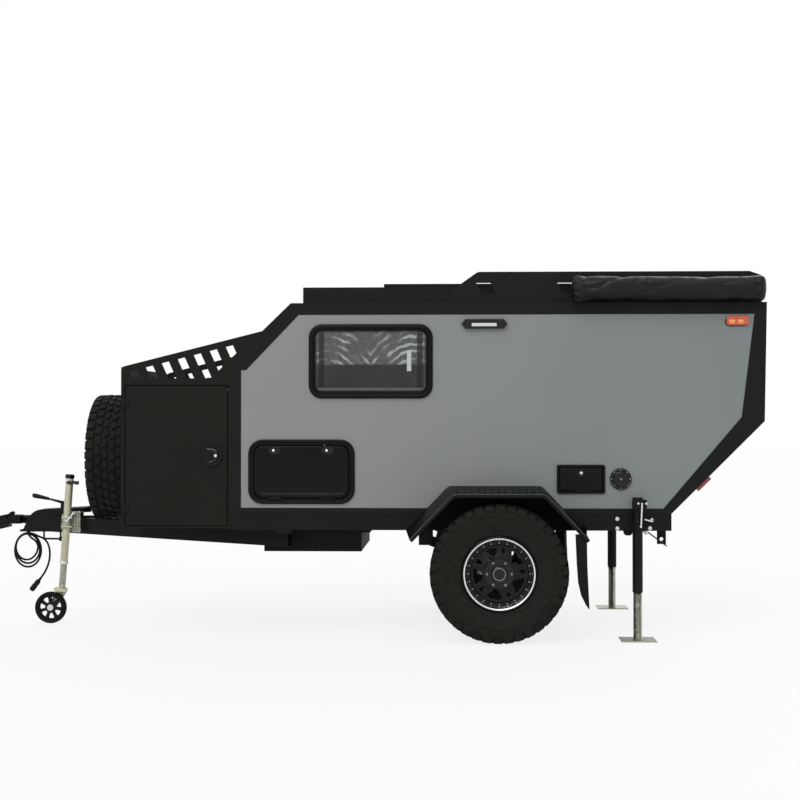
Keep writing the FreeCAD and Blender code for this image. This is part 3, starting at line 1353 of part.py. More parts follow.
def make_coupling():
    yoke = [
        rod("Spindle", ALONG_X, "-neck_tip - yoke_plate", "0", "hitch_up",
            "spindle_radius", "yoke_plate + spindle_deep"),
        box("YokePlate", "-neck_tip - yoke_plate", "-neck_tip - fit_gap * 2",
            "-ear_outer", "ear_outer", "hitch_up - ear_radius", "hitch_up + ear_radius"),
    ]
    for word, side in SIDES.items():
        yoke.append(side_box("Ear_" + word, side, "-pin_at", "-neck_tip - yoke_plate",
                             "ear_inner", "ear_outer", "hitch_up - ear_radius",
                             "hitch_up + ear_radius"))
        yoke.append(side_rod("EarEnd_" + word, side, "-pin_at", "ear_inner", "ear_outer",
                             "hitch_up", "ear_radius"))
    bore = rod("YokeBore", ALONG_Y, "-pin_at", "-ear_outer", "hitch_up",
               "pin_radius + pin_play", "2 * ear_outer")
    keep("coupling_yoke", cut("CouplingYoke", fuse("YokeBody", yoke), [bore]))
    # The head is drawn level ahead of its pin, then drooped about it.
    head = new_body("HeadBlock")
    length = num("nose_reach - pin_at") / math.cos(math.radians(num("head_droop")))
    tall = num("head_high")
    front = -length + tall / 2 * math.sin(math.radians(num("head_droop")))
    corners = [
        (str(front), "-head_high / 2", "head_bend / 2"),
        ("-head_back", "-head_high / 2"),
        ("-head_back", "head_high / 2", "head_bend / 3"),
        (str(front + 60), "head_high / 2", "head_bend * 1.5"),
        (str(front), "head_high * 0.1", "head_bend"),
    ]
    pad(head, sketch_on(head, "XZ_Plane", [corners]), "2 * head_half", middle=True)
    tongue = doc.addObject("Part::Box", "HeadTongue")
    tongue.Length = num("head_back + ear_radius * 0.6")
    tongue.Width = num("2 * ear_inner - fit_gap * 2")
    tongue.Height = num("ear_radius * 1.2")
    pivot = at("-pin_at", "0", "hitch_up")
    droop = FreeCAD.Rotation(ACROSS, -num("head_droop"))
    head.Placement = FreeCAD.Placement(pivot, droop)
    tongue.Placement = head.Placement.multiply(FreeCAD.Placement(
        V(-num("head_back"), -tongue.Width.Value / 2, -tongue.Height.Value / 2),
        FreeCAD.Rotation()))
    pin = rod("HeadPin", ALONG_Y, "-pin_at", "-ear_outer - move_gap", "hitch_up",
              "pin_radius", "2 * (ear_outer + move_gap)")
    socket = doc.addObject("Part::Cylinder", "Socket")
    socket.setExpression("Radius", expr("socket_radius"))
    socket.setExpression("Height", expr("socket_deep"))
    socket.Placement = head.Placement.multiply(FreeCAD.Placement(
        V(-num("socket_at"), 0, -num("head_high") / 2), FreeCAD.Rotation()))
    keep("coupling_head", cut("CouplingHead", fuse("HeadBody", [head, tongue, pin]),
                              [socket]))


def make_handbrake():
    pivot = at("-brake_pivot_at", "0", "brake_pivot_up")
    grip = at("-brake_grip_at", "0", "brake_grip_up")
    end = at("-brake_end_at", "0", "brake_end_up")
    lever = round_bar(pivot, grip, 7).fuse(round_bar(grip, end, 12))
    foot = box("BrakeFoot", "-brake_pivot_at - 25", "-nose_rear", "-20", "20",
               "nose_high", "nose_high + 6")
    stand = box("BrakeStandPlate", "-brake_pivot_at - 25", "-nose_rear", "-5", "5",
                "nose_high", "brake_pivot_up + 12")
    keep("handbrake_lever", fuse("HandbrakeLever", [shaped("BrakeLever", lever), stand,
                                                    foot]))


# Roof

def make_roof():
    outer = rectangle("-lid_front", "-lid_half", "lid_rear", "lid_half", "lid_bend")
    inner = rectangle("-lid_front + lid_wall", "-lid_half + lid_wall",
                      "lid_rear - lid_wall", "lid_half - lid_wall", "lid_bend / 2")
    rim = flat_plate("LidRim", [outer, inner], "lid_low", "lid_high - lid_low - lid_wall")
    top = flat_plate("LidTop", [outer], "lid_high - lid_wall", "lid_wall")
    x, z = "lid_rear + hinge_barrel", "lid_low + hinge_barrel"
    lid_parts = [rim, top]
    for i, share in enumerate((-0.6, 0.6)):
        start = "lid_half * %s - hinge_length" % share
        gap = "fit_gap * 2"
        lid_parts.append(rod("LidBarrel%d" % i, ALONG_Y, x, start, z, "hinge_barrel",
                             "2 * hinge_length"))
        lid_parts.append(rod("LidPin%d" % i, ALONG_Y, x,
                             "%s - hinge_lug - %s" % (start, gap), z, "hinge_pin",
                             "2 * (hinge_length + hinge_lug + %s)" % gap))
        lid_parts.append(box("LidLeaf%d" % i, "lid_rear - 2", x, start,
                             "%s + 2 * hinge_length" % start, z,
                             "%s + hinge_barrel" % z))
        for end, low in (("Left", "%s - hinge_lug - %s" % (start, gap)),
                         ("Right", "%s + 2 * hinge_length + %s" % (start, gap))):
            barrel = rod("LidLug%s%d" % (end, i), ALONG_Y, x, low, z, "hinge_barrel",
                         "hinge_lug")
            foot = box("LidFoot%s%d" % (end, i), x, "%s + hinge_barrel * 3" % x, low,
                       "%s + hinge_lug" % low, "roof_top", z)
            under = box("LidUnder%s%d" % (end, i), "%s - hinge_barrel / 2" % x,
                        "%s + hinge_barrel * 3" % x, low, "%s + hinge_lug" % low,
                        "roof_top", "lid_low + 1")
            bore = rod("LidBore%s%d" % (end, i), ALONG_Y, x, low, z,
                       "hinge_pin + pin_play", "hinge_lug")
            roof_parts.append(cut("LidLugCut%s%d" % (end, i),
                                  fuse("LidLugBody%s%d" % (end, i),
                                       [barrel, foot, under]), [bore]))
    keep("poptop_lid", fuse("PoptopLid", lid_parts))
    # A low coaming under the lid's rim carries it at rest.
    coaming = flat_plate("LidCoaming", [
        rectangle("-lid_front + 5", "-lid_half + 5", "lid_rear - 5", "lid_half - 5",
                  "lid_bend - 5"),
        rectangle("-lid_front + lid_wall - 5", "-lid_half + lid_wall - 5",
                  "lid_rear - lid_wall + 5", "lid_half - lid_wall + 5", "lid_bend / 2"),
    ], "roof_top", "lid_low - roof_top - fit_gap")
    roof_parts.append(coaming)
    keep("roof_panel", fuse("RoofPanel", roof_parts))
    panel = flat_plate("SolarPanel", [
        rectangle("-panel_front", "-panel_half", "panel_rear", "panel_half",
                  "panel_bend"),
    ], "lid_high", "panel_high - lid_high")
    keep("solar_panel", panel)
    plates = []
    for word, side in SIDES.items():
        plate = side_plate("RoofPlate_" + word, [[
            ("-plate_front", "roof_top"),
            ("plate_rear", "roof_top"),
            ("plate_rear", "plate_high_top - plate_corner"),
            ("plate_back", "plate_high_top"),
            ("-plate_step_end", "plate_high_top", "plate_bend"),
            ("-plate_step_at", "plate_low_top"),
            ("-plate_nose_at", "plate_nose_up"),
        ]] + rack_slots(), *reach(side, "plate_y", "plate_y + plate_sheet"))
        foot = side_box("RoofPlateFoot_" + word, side, "-plate_front", "plate_rear",
                        "plate_y", "plate_y + plate_foot", "roof_top",
                        "roof_top + plate_sheet")
        plates.append([plate, foot])
    awning = front_plate("Awning", [
        rectangle("-awning_outer", "awning_low", "-awning_inner", "awning_high",
                  "awning_bend"),
    ], "awning_front", "awning_rear - awning_front")
    keep("awning_bag", awning)
    for i, x in enumerate(("awning_front + bracket_inset",
                           "awning_rear - bracket_inset")):
        plates[0].append(box("AwningBracket%d" % i, x, "%s + bracket_wide" % x,
                             "-awning_inner", "-plate_y - plate_sheet",
                             "(awning_low + awning_high) / 2",
                             "(awning_low + awning_high) / 2 + bracket_thick"))
    keep("roof_plates", group("RoofPlates", [
        fuse("RoofPlate%d" % i, parts) for i, parts in enumerate(plates)]))


def rack_slots():
    """Two slanted slots in the roof plate's upper edge."""
    loops = []
    for i in range(int(SIZES["rack_slots"])):
        front = "-rack_slot_front + rack_slot_pitch * %d" % i
        rear = front + " + rack_slot_long"
        loops.append([(front, "rack_slot_low"), (rear, "rack_slot_low"),
                      (rear + " - rack_slot_lean", "rack_slot_high"),
                      (front + " - rack_slot_lean", "rack_slot_high")])
    return loops


# Spare wheel

def make_spare():
    place = FreeCAD.Placement(at("-box_front - spare_off", "0", "spare_up"),
                              FreeCAD.Rotation(UPWARD, -90))
    make_wheel("spare", place)
    carrier = [
        box("CarrierPlate", "-box_front - 8", "-box_front", "-carrier_plate / 2",
            "carrier_plate / 2", "spare_up - carrier_plate / 2",
            "spare_up + carrier_plate / 2"),
        rod("CarrierTube", ALONG_X, "-box_front - spare_off", "0", "spare_up",
            "carrier_radius", "spare_off"),
        rod("CarrierStud", ALONG_X, "-box_front - spare_off - disc_outer - 30", "0",
            "spare_up", "hub_hole - fit_gap", "disc_outer + 40"),
    ]
    keep("spare_carrier", fuse("SpareCarrier", carrier))


def make_mattress():
    mattress = box("Mattress", "-body_front + wall_thick + mattress_gap",
                   "mattress_rear", "-(%s) + mattress_gap" % INNER,
                   "%s - mattress_gap" % INNER, "floor_low + wall_thick + fit_gap",
                   "floor_low + wall_thick + mattress_high")
    keep("mattress", mattress)


# Cable

def rounded_path(points):
    """Straight runs joined by tangent arcs as large as the runs allow."""
    edges = []
    start = points[0]
    radii = []
    for before, corner, after in zip(points, points[1:], points[2:]):
        run_in, run_out = corner - before, after - corner
        turn = run_in.getAngle(run_out)
        shorter = min(run_in.Length, run_out.Length)
        trim = 0.45 * shorter
        radii.append(trim / math.tan(turn / 2))
        inward, outward = V(run_in).normalize(), V(run_out).normalize()
        arc_start = corner - inward * trim
        arc_end = corner + outward * trim
        middle_dir = (outward - inward).normalize()
        radius = radii[-1]
        centre = corner + middle_dir * (radius / math.cos(turn / 2))
        middle = centre - middle_dir * radius
        edges.append(Part.LineSegment(start, arc_start).toShape())
        edges.append(Part.Arc(arc_start, middle, arc_end).toShape())
        start = arc_end
    edges.append(Part.LineSegment(start, points[-1]).toShape())
    print("cable radii", [round(r) for r in radii])
    return Part.Wire(edges)


def cable_tube(points):
    path = rounded_path(points)
    radius = num("cable_radius")
    start = points[0]
    circle = Part.Wire(Part.makeCircle(radius, start, points[1] - points[0]))
    tube = path.makePipeShell([circle], True, False)
    print("cable volume ratio", tube.Volume / (math.pi * radius ** 2 * path.Length))
    return tube


# The cable's free end, from the coil's rear side down to the plug.
TAIL = [(-2936, 540), (-2900, 528), (-2872, 495), (-2860, 447), (-2861, 400),
        (-2871, 358), (-2887, 320), (-2905, 290), (-2923, 267)]


def make_cable():
    y = "-cable_y"
    radius = num("cable_radius")
    tail = cable_tube([at(x, y, z) for x, z in TAIL])
    keep("cable", shaped("Cable", tail))
    # The hanging coil: a flat oval ring, under its tie at the drawbar's nose.
    coil = new_body("Coil")
    sketch = coil.newObject("Sketcher::SketchObject", "Ring")
    sketch.AttachmentSupport = [(origin_feature(coil, "XZ_Plane"), "")]
    sketch.MapMode = "FlatFace"
    for inset in ("0", "coil_band"):
        wide = num("coil_wide / 2 - %s" % inset)
        tall = num("coil_tall / 2 - %s" % inset)
        oval = Part.Ellipse(V(0, tall, 0), V(wide, 0, 0), V())
        sketch.addGeometry(oval, False)
    pad(coil, sketch, "coil_half * 2", middle=True)
    bind_base(coil, "-coil_at", y, "coil_up")
    keep("cable_coil", coil)
    plug_start = at(TAIL[-1][0], y, TAIL[-1][1])
    heading = (plug_start - at(TAIL[-2][0], y, TAIL[-2][1])).normalize()
    plug = round_bar(plug_start, plug_start + heading * num("plug_long"),
                     num("plug_radius"))
    keep("cable_plug", shaped("CablePlug", plug))


make_walls()
make_floor_and_roof()
make_window()
make_flaps()
make_entry_door()
keep("opening_frames", group("OpeningFrames", frames))
make_rear_hatch()
make_lights()
make_storage_box()
make_chassis()
make_drawbar()
make_tank()
make_running_gear()
make_fenders()
make_legs()
make_jack()
make_coupling()
make_handbrake()
make_roof()
make_spare()
make_mattress()
make_cable()
doc.recompute()

problems = [o.Name for o in doc.Objects if "Invalid" in o.State or "Error" in o.State]
if problems:
    raise SystemExit("failed features: %s" % problems)
os.makedirs("parts", exist_ok=True)
for label, piece in nodes.items():
    if piece.Shape.isNull() or not piece.Shape.isValid():
        raise SystemExit("bad shape: " + label)
    piece.Shape.exportStep(os.path.join("parts", label + ".step"))
print("wrote", len(nodes), "sub-parts")
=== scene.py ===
import bpy
import bmesh
import json
import math
from mathutils import Euler, Matrix, Vector, noise


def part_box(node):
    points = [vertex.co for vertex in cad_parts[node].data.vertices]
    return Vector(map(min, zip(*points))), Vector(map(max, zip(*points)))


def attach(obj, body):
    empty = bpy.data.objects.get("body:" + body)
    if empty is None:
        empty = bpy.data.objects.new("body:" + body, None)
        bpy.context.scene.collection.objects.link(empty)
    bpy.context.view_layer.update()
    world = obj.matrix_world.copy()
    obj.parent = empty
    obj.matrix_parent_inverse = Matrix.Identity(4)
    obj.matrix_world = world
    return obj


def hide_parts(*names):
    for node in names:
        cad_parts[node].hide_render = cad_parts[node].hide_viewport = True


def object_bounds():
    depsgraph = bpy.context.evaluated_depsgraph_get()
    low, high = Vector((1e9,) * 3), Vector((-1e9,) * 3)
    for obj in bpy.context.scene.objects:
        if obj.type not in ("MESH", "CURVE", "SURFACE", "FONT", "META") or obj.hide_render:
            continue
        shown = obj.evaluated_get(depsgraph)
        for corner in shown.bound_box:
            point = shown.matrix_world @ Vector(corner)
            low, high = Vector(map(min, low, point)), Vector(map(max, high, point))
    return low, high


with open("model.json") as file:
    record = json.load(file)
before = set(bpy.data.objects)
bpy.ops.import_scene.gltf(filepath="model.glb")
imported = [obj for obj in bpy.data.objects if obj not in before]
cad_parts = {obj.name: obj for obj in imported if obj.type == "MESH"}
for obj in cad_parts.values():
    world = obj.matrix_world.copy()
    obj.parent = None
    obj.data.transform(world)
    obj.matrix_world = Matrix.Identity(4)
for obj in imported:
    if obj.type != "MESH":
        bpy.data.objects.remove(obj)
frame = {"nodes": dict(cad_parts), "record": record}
cadLow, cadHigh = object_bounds()
print("frame loaded,", len(frame["nodes"]), "nodes")


# Shader maths: one socket, with the operators that are used on it
class Value:
    def __init__(self, paint, socket):
        self.paint, self.socket = paint, socket

    def maths(self, operation, first, second):
        return self.paint.node("ShaderNodeMath", {"operation": operation}, {0: first, 1: second})

    def __add__(self, other): return self.maths("ADD", self, other)
    def __radd__(self, other): return self.maths("ADD", other, self)
    def __sub__(self, other): return self.maths("SUBTRACT", self, other)
    def __rsub__(self, other): return self.maths("SUBTRACT", other, self)
    def __mul__(self, other): return self.maths("MULTIPLY", self, other)
    def __rmul__(self, other): return self.maths("MULTIPLY", other, self)
    def above(self, other): return self.maths("GREATER_THAN", self, other)
    def atMost(self, other): return self.maths("MINIMUM", self, other)
    def atLeast(self, other): return self.maths("MAXIMUM", self, other)
    def size(self): return self.maths("ABSOLUTE", self, 0.0)


def addNode(tree, kind, settings, sockets):
    node = tree.nodes.new(kind)
    for name, setting in settings.items():
        if name == "stops":
            ramp = node.color_ramp
            while len(ramp.elements) < len(setting):
                ramp.elements.new(1.0)
            for element, (place, colour) in zip(ramp.elements, setting):
                element.position, element.color = place, tuple(colour) + (1.0,)
        else:
            setattr(node, name, setting)
    for key, given in sockets.items():
        target = node.inputs[key]
        if isinstance(given, Value):
            tree.links.new(given.socket, target)
        elif isinstance(given, bpy.types.NodeSocket):
            tree.links.new(given, target)
        elif target.type == "RGBA" and len(given) == 3:
            target.default_value = tuple(given) + (1.0,)
        else:
            target.default_value = given
    return node


# A finish being mixed: what varies goes to the shader through drive()
class Paint:
    def __init__(self, name, **fixed):
        self.material = bpy.data.materials.new(name)
        self.material.use_nodes = True
        self.tree = self.material.node_tree
        self.shader = self.tree.nodes["Principled BSDF"]
        for label, setting in fixed.items():
            socket = self.shader.inputs[shaderNames[label]]
            socket.default_value = tuple(setting) + (1.0,) if socket.type == "RGBA" else setting
        coordinates = self.tree.nodes.new("ShaderNodeTexCoord")
        self.place = Value(self, coordinates.outputs["Object"])

    def node(self, kind, settings, sockets, output=0):
        return Value(self, addNode(self.tree, kind, settings, sockets).outputs[output])

    def axis(self, letter):
        return self.node("ShaderNodeSeparateXYZ", {}, {0: self.place}, letter)

    def speckle(self, scale, detail=3.0, roughness=0.5, stretch=None, distortion=0.0):
        vector = self.place
        if stretch:
            vector = self.node("ShaderNodeMapping", {}, {"Vector": self.place, "Scale": stretch})
        return self.node("ShaderNodeTexNoise", {}, {
            "Vector": vector, "Scale": scale, "Detail": detail, "Roughness": roughness,
            "Distortion": distortion})

    def cells(self, scale, output="Distance"):
        return self.node("ShaderNodeTexVoronoi", {}, {"Vector": self.place, "Scale": scale},
                         output)

    def spread(self, value, low, high, fromLow=0.0, fromHigh=1.0):
        return self.node("ShaderNodeMapRange", {}, {
            "Value": value, "From Min": fromLow, "From Max": fromHigh, "To Min": low,
            "To Max": high})

    def ramp(self, value, stops):
        return self.node("ShaderNodeValToRGB", {"stops": stops}, {0: value})

    def blend(self, factor, first, second):
        mix = addNode(self.tree, "ShaderNodeMix", {"data_type": "RGBA"},
                      {"Factor": factor, 6: first, 7: second})
        return Value(self, mix.outputs[2])

    def bump(self, height, strength, distance, onto=None):
        sockets = {"Height": height, "Strength": strength, "Distance": distance}
        if onto:
            sockets["Normal"] = onto
        return self.node("ShaderNodeBump", {}, sockets)

    def drive(self, **varying):
        for label, value in varying.items():
            self.tree.links.new(value.socket, self.shader.inputs[shaderNames[label]])
        return self.material


shaderNames = {
    "colour": "Base Color", "rough": "Roughness", "metal": "Metallic", "coat": "Coat Weight",
    "coatRough": "Coat Roughness", "alpha": "Alpha", "normal": "Normal", "sheen": "Sheen Weight",
    "specular": "Specular IOR Level", "ior": "IOR",
}


def tone(code):
    parts = [int(code[i:i + 2], 16) / 255 for i in (1, 3, 5)]
    return tuple(c / 12.92 if c <= 0.04045 else ((c + 0.055) / 1.055) ** 2.4 for c in parts)


# Finishes
cabinLook = {"warm": "#858683", "cool": "#737b7b", "lining": "#b9b4a8", "innerFace": 0.712,
             "roughLow": 0.34, "roughHigh": 0.46, "grainScale": 900.0, "dustTop": 1.0}


def cabinFinish():
    look = cabinLook
    paint = Paint("cabinGrey", coat=0.15, coatRough=0.3, specular=0.45)
    along = paint.spread(paint.axis("X"), 0.0, 1.0, cadLow.x * 0.35, cadHigh.x * 0.9)
    cloud = paint.speckle(1.3, 2.0)
    shade = paint.blend((along + (cloud - 0.5) * 0.5).atMost(1.0).atLeast(0.0),
                        tone(look["warm"]), tone(look["cool"]))
    dust = paint.spread(paint.axis("Z"), 0.1, 0.0, 0.74, look["dustTop"]) * paint.speckle(6.0)
    dust = dust.atLeast(0.0)
    shade = paint.blend(dust, shade, tone("#6b675f"))
    inside = look["innerFace"] - paint.axis("Y").size()
    lining = paint.blend(paint.speckle(40.0), tone(look["lining"]), tone("#a9a498"))
    shade = paint.blend(inside.above(0.0), shade, lining)
    rough = paint.spread(paint.speckle(7.0, 4.0), look["roughLow"], look["roughHigh"])
    grain = paint.speckle(look["grainScale"], 2.0)
    wave = paint.speckle(2.2, 1.0)
    normal = paint.bump(grain, 0.05, 0.0004, paint.bump(wave, 0.1, 0.004))
    return paint.drive(colour=shade, rough=rough, normal=normal)


def blackFinish(name, dark, pale, roughLow, roughHigh, grainScale, grainDeep, dusty=0.0,
                gloss=0.12):
    paint = Paint(name, specular=gloss)
    patch = paint.speckle(3.5, 4.0)
    shade = paint.blend(patch, tone(dark), tone(pale))
    if dusty:
        low = paint.spread(paint.axis("Z"), dusty, 0.0, 0.25, 0.75).atLeast(0.0)
        shade = paint.blend((low * paint.speckle(14.0, 5.0)).atMost(1.0), shade, tone("#5a544a"))
    rub = paint.speckle(26.0, 5.0, 0.6)
    rough = paint.spread(rub, roughLow, roughHigh, 0.3, 0.7)
    normal = paint.bump(paint.speckle(grainScale, 2.0), grainDeep, 0.0006)
    return paint.drive(colour=shade, rough=rough, normal=normal)


def boxFinish():
    paint = Paint("boxTexturedBlack", specular=0.1)
    patch = paint.speckle(2.4, 3.0)
    shade = paint.blend(patch, tone("#151512"), tone("#1a1a17"))
    wrinkle = paint.cells(420.0)
    fine = paint.speckle(800.0, 2.0)
    shade = paint.blend(wrinkle * 0.3, shade, tone("#22221e"))
    rough = paint.spread(paint.speckle(9.0, 4.0), 0.52, 0.68)
    normal = paint.bump(wrinkle, 0.35, 0.0008, paint.bump(fine, 0.15, 0.0004))
    return paint.drive(colour=shade, rough=rough, normal=normal)


def metalFinish(name, dark, pale, roughLow, roughHigh, spangle, stained=0.0):
    paint = Paint(name, metal=1.0)
    flake = paint.cells(spangle, output="Color")
    flakeTone = paint.node("ShaderNodeRGBToBW", {}, {0: flake})
    shade = paint.blend(flakeTone, tone(dark), tone(pale))
    stain = paint.spread(paint.speckle(30.0, 5.0, 0.65), 0.0, stained, 0.45, 0.75)
    stain = stain.atLeast(0.0).atMost(1.0)
    shade = paint.blend(stain, shade, tone("#6f6654"))
    rough = paint.spread(flakeTone, roughLow, roughHigh)
    scratch = paint.speckle(220.0, 3.0, stretch=(1.0, 1.0, 0.08))
    normal = paint.bump(scratch, 0.08, 0.0005)
    return paint.drive(colour=shade, rough=rough, normal=normal)


def creamZinc():
    paint = Paint("zincCream", metal=0.55, specular=0.5)
    cloud = paint.speckle(18.0, 5.0)
    shade = paint.blend(cloud, tone("#a9a68c"), tone("#d3d0b8"))
    run = paint.speckle(60.0, 3.0, stretch=(1.0, 1.0, 0.06))
    shade = paint.blend(paint.spread(run, 0.0, 0.35, 0.5, 0.8).atLeast(0.0), shade,
                        tone("#7f7a62"))
    rough = paint.spread(run, 0.3, 0.48)
    normal = paint.bump(cloud, 0.08, 0.0008)
    return paint.drive(colour=shade, rough=rough, normal=normal)


def rubberFinish(name, dark, pale, dusty=0.5):
    paint = Paint(name, specular=0.1)
    cloud = paint.speckle(9.0, 5.0)
    shade = paint.blend(cloud, tone(dark), tone(pale))
    dust = paint.spread(paint.speckle(34.0, 6.0, 0.7), 0.0, dusty, 0.45, 0.8).atLeast(0.0)
    shade = paint.blend(dust.atMost(1.0), shade, tone("#4b463d"))
    rough = paint.spread(cloud, 0.62, 0.82)
    normal = paint.bump(paint.speckle(300.0, 3.0), 0.2, 0.0008)
    return paint.drive(colour=shade, rough=rough, normal=normal)


def plasticFinish(name, dark, pale, roughLow, roughHigh, gloss=0.16):
    paint = Paint(name, specular=gloss)
    shade = paint.blend(paint.speckle(12.0, 3.0), tone(dark), tone(pale))
    rough = paint.spread(paint.speckle(30.0, 3.0), roughLow, roughHigh)
    normal = paint.bump(paint.cells(900.0), 0.12, 0.0003)
    return paint.drive(colour=shade, rough=rough, normal=normal)


# Where the painted reflection sits on the window pane: swipes, a bright patch and two weaker bands
paintedReflectionLook = {"middle": 0.0925, "aside": 0.27, "low": 1.5, "edge": 1.612,
            "lamp": (0.321, 0.013), "lampUp": (1.64, 0.062), "postAt": 0.292,
            "postHalf": 0.016}


def acrylicFinish():
    paint = Paint("smokedAcrylic", specular=0.3, ior=1.49)
    # Painted reflection in the colour: long curved bright swipes, stronger towards the top
    look = paintedReflectionLook
    aside = (paint.axis("X") - look["middle"]).size() - look["aside"]
    centre = paint.node("ShaderNodeCombineXYZ", {}, {
        "X": aside, "Z": paint.axis("Z") - look["low"]})
    curve = paint.node("ShaderNodeTexWave", {"wave_type": "RINGS", "rings_direction": "Y"}, {
        "Vector": centre, "Scale": 7.2, "Distortion": 4.2, "Detail": 4.0, "Detail Scale": 2.0,
        "Detail Roughness": 0.55})
    streak = paint.spread(curve, 0.0, 1.0, 0.5, 1.0).atLeast(0.0)
    top = paint.spread(paint.axis("Z"), 0.0, 1.0, look["edge"], look["edge"] + 0.012)
    top = top.atLeast(0.0).atMost(1.0)
    patch = paint.spread(paint.speckle(9.0, 5.0), 0.0, 1.0, 0.4, 0.6)
    patch = patch.atLeast(0.0).atMost(1.0)
    paintedReflection = streak * top * patch * 0.6 + (paint.speckle(40.0, 5.0, 0.7) * 0.36) * top
    paintedReflection = paintedReflection + (1.0 - top) * paint.speckle(4.0, 2.0) * 0.08
    # A painted bright patch (a painted lamp reflection), and two vertical bands where the painted
    # reflection is weaker
    across, up = look["lamp"], look["lampUp"]
    lamp = (across[1] - (paint.axis("X") - across[0]).size()).above(0.0)
    lamp = lamp * (up[1] - (paint.axis("Z") - up[0]).size()).above(0.0)
    post = (look["postHalf"] - ((paint.axis("X") - look["middle"]).size()
            - look["postAt"]).size()).above(0.0)
    paintedReflection = (paintedReflection * (1.0 - post * 0.8) + lamp).atMost(1.0)
    shade = paint.blend(paintedReflection, tone("#121314"), tone("#b9bdbd"))
    alpha = paint.spread(paintedReflection, 0.93, 0.98)
    rough = paint.spread(paintedReflection, 0.05, 0.2)
    normal = paint.bump(paint.speckle(3.0, 2.0), 0.12, 0.01)
    return paint.drive(colour=shade, alpha=alpha, rough=rough, normal=normal)


def lensFinish(name, dark, pale, pitch):
    paint = Paint(name, specular=0.6, coat=0.6, coatRough=0.05)
    rib = paint.node("ShaderNodeTexWave", {"wave_type": "BANDS", "bands_direction": "X"},
                     {"Vector": paint.place, "Scale": pitch})
    shade = paint.blend(rib * 0.7 + paint.speckle(60.0) * 0.3, tone(dark), tone(pale))
    rough = paint.spread(rib, 0.08, 0.2)
    normal = paint.bump(rib, 0.5, 0.001)
    return paint.drive(colour=shade, rough=rough, normal=normal)


def solarFinish():
    paint = Paint("solarGlass", coat=0.25, coatRough=0.06, specular=0.3)
    brick = paint.node("ShaderNodeTexBrick", {"offset": 0.0, "squash": 1.0}, {
        "Vector": paint.place, "Color1": tone("#0d1420"), "Color2": tone("#101a2a"),
        "Mortar": tone("#3b4148"), "Scale": 1.0, "Mortar Size": 0.004, "Bias": 0.0,
        "Brick Width": 0.158, "Row Height": 0.158})
    finger = paint.node("ShaderNodeTexWave", {"bands_direction": "Y"},
                        {"Vector": paint.place, "Scale": 60.0})
    shade = paint.blend(finger * 0.08, brick, tone("#6a737c"))
    rough = paint.spread(paint.speckle(8.0, 4.0), 0.22, 0.4)
    normal = paint.bump(paint.speckle(2.0), 0.05, 0.003)
    return paint.drive(colour=shade, rough=rough, normal=normal)


def bagFinish():
    paint = Paint("bagCoatedFabric", specular=0.2, coat=0.06, coatRough=0.3)
    weave = paint.node("ShaderNodeTexChecker", {}, {
        "Vector": paint.place, "Scale": 700.0, "Color1": (0.3, 0.3, 0.3),
                                                    "Color2": (0.6, 0.6, 0.6)})
    shade = paint.blend(paint.speckle(6.0, 5.0), tone("#050607"), tone("#0b0e10"))
    crease = paint.speckle(16.0, 5.0, 0.65, distortion=1.4)
    rough = paint.spread(crease, 0.28, 0.5)
    normal = paint.bump(weave, 0.06, 0.0003, paint.bump(crease, 0.18, 0.004))
    return paint.drive(colour=shade, rough=rough, normal=normal)


def fabricFinish(name, dark, pale):
    paint = Paint(name, sheen=0.3, specular=0.2)
    weft = paint.node("ShaderNodeTexWave", {"bands_direction": "X"},
                      {"Vector": paint.place, "Scale": 160.0, "Distortion": 0.6})
    warp = paint.node("ShaderNodeTexWave", {"bands_direction": "Y"},
                      {"Vector": paint.place, "Scale": 160.0, "Distortion": 0.6})
    shade = paint.blend(paint.speckle(8.0, 4.0) * 0.5 + weft * warp * 0.5, tone(dark), tone(pale))
    rough = paint.spread(weft, 0.8, 0.95)
    normal = paint.bump(weft * warp, 0.4, 0.0008)
    return paint.drive(colour=shade, rough=rough, normal=normal)


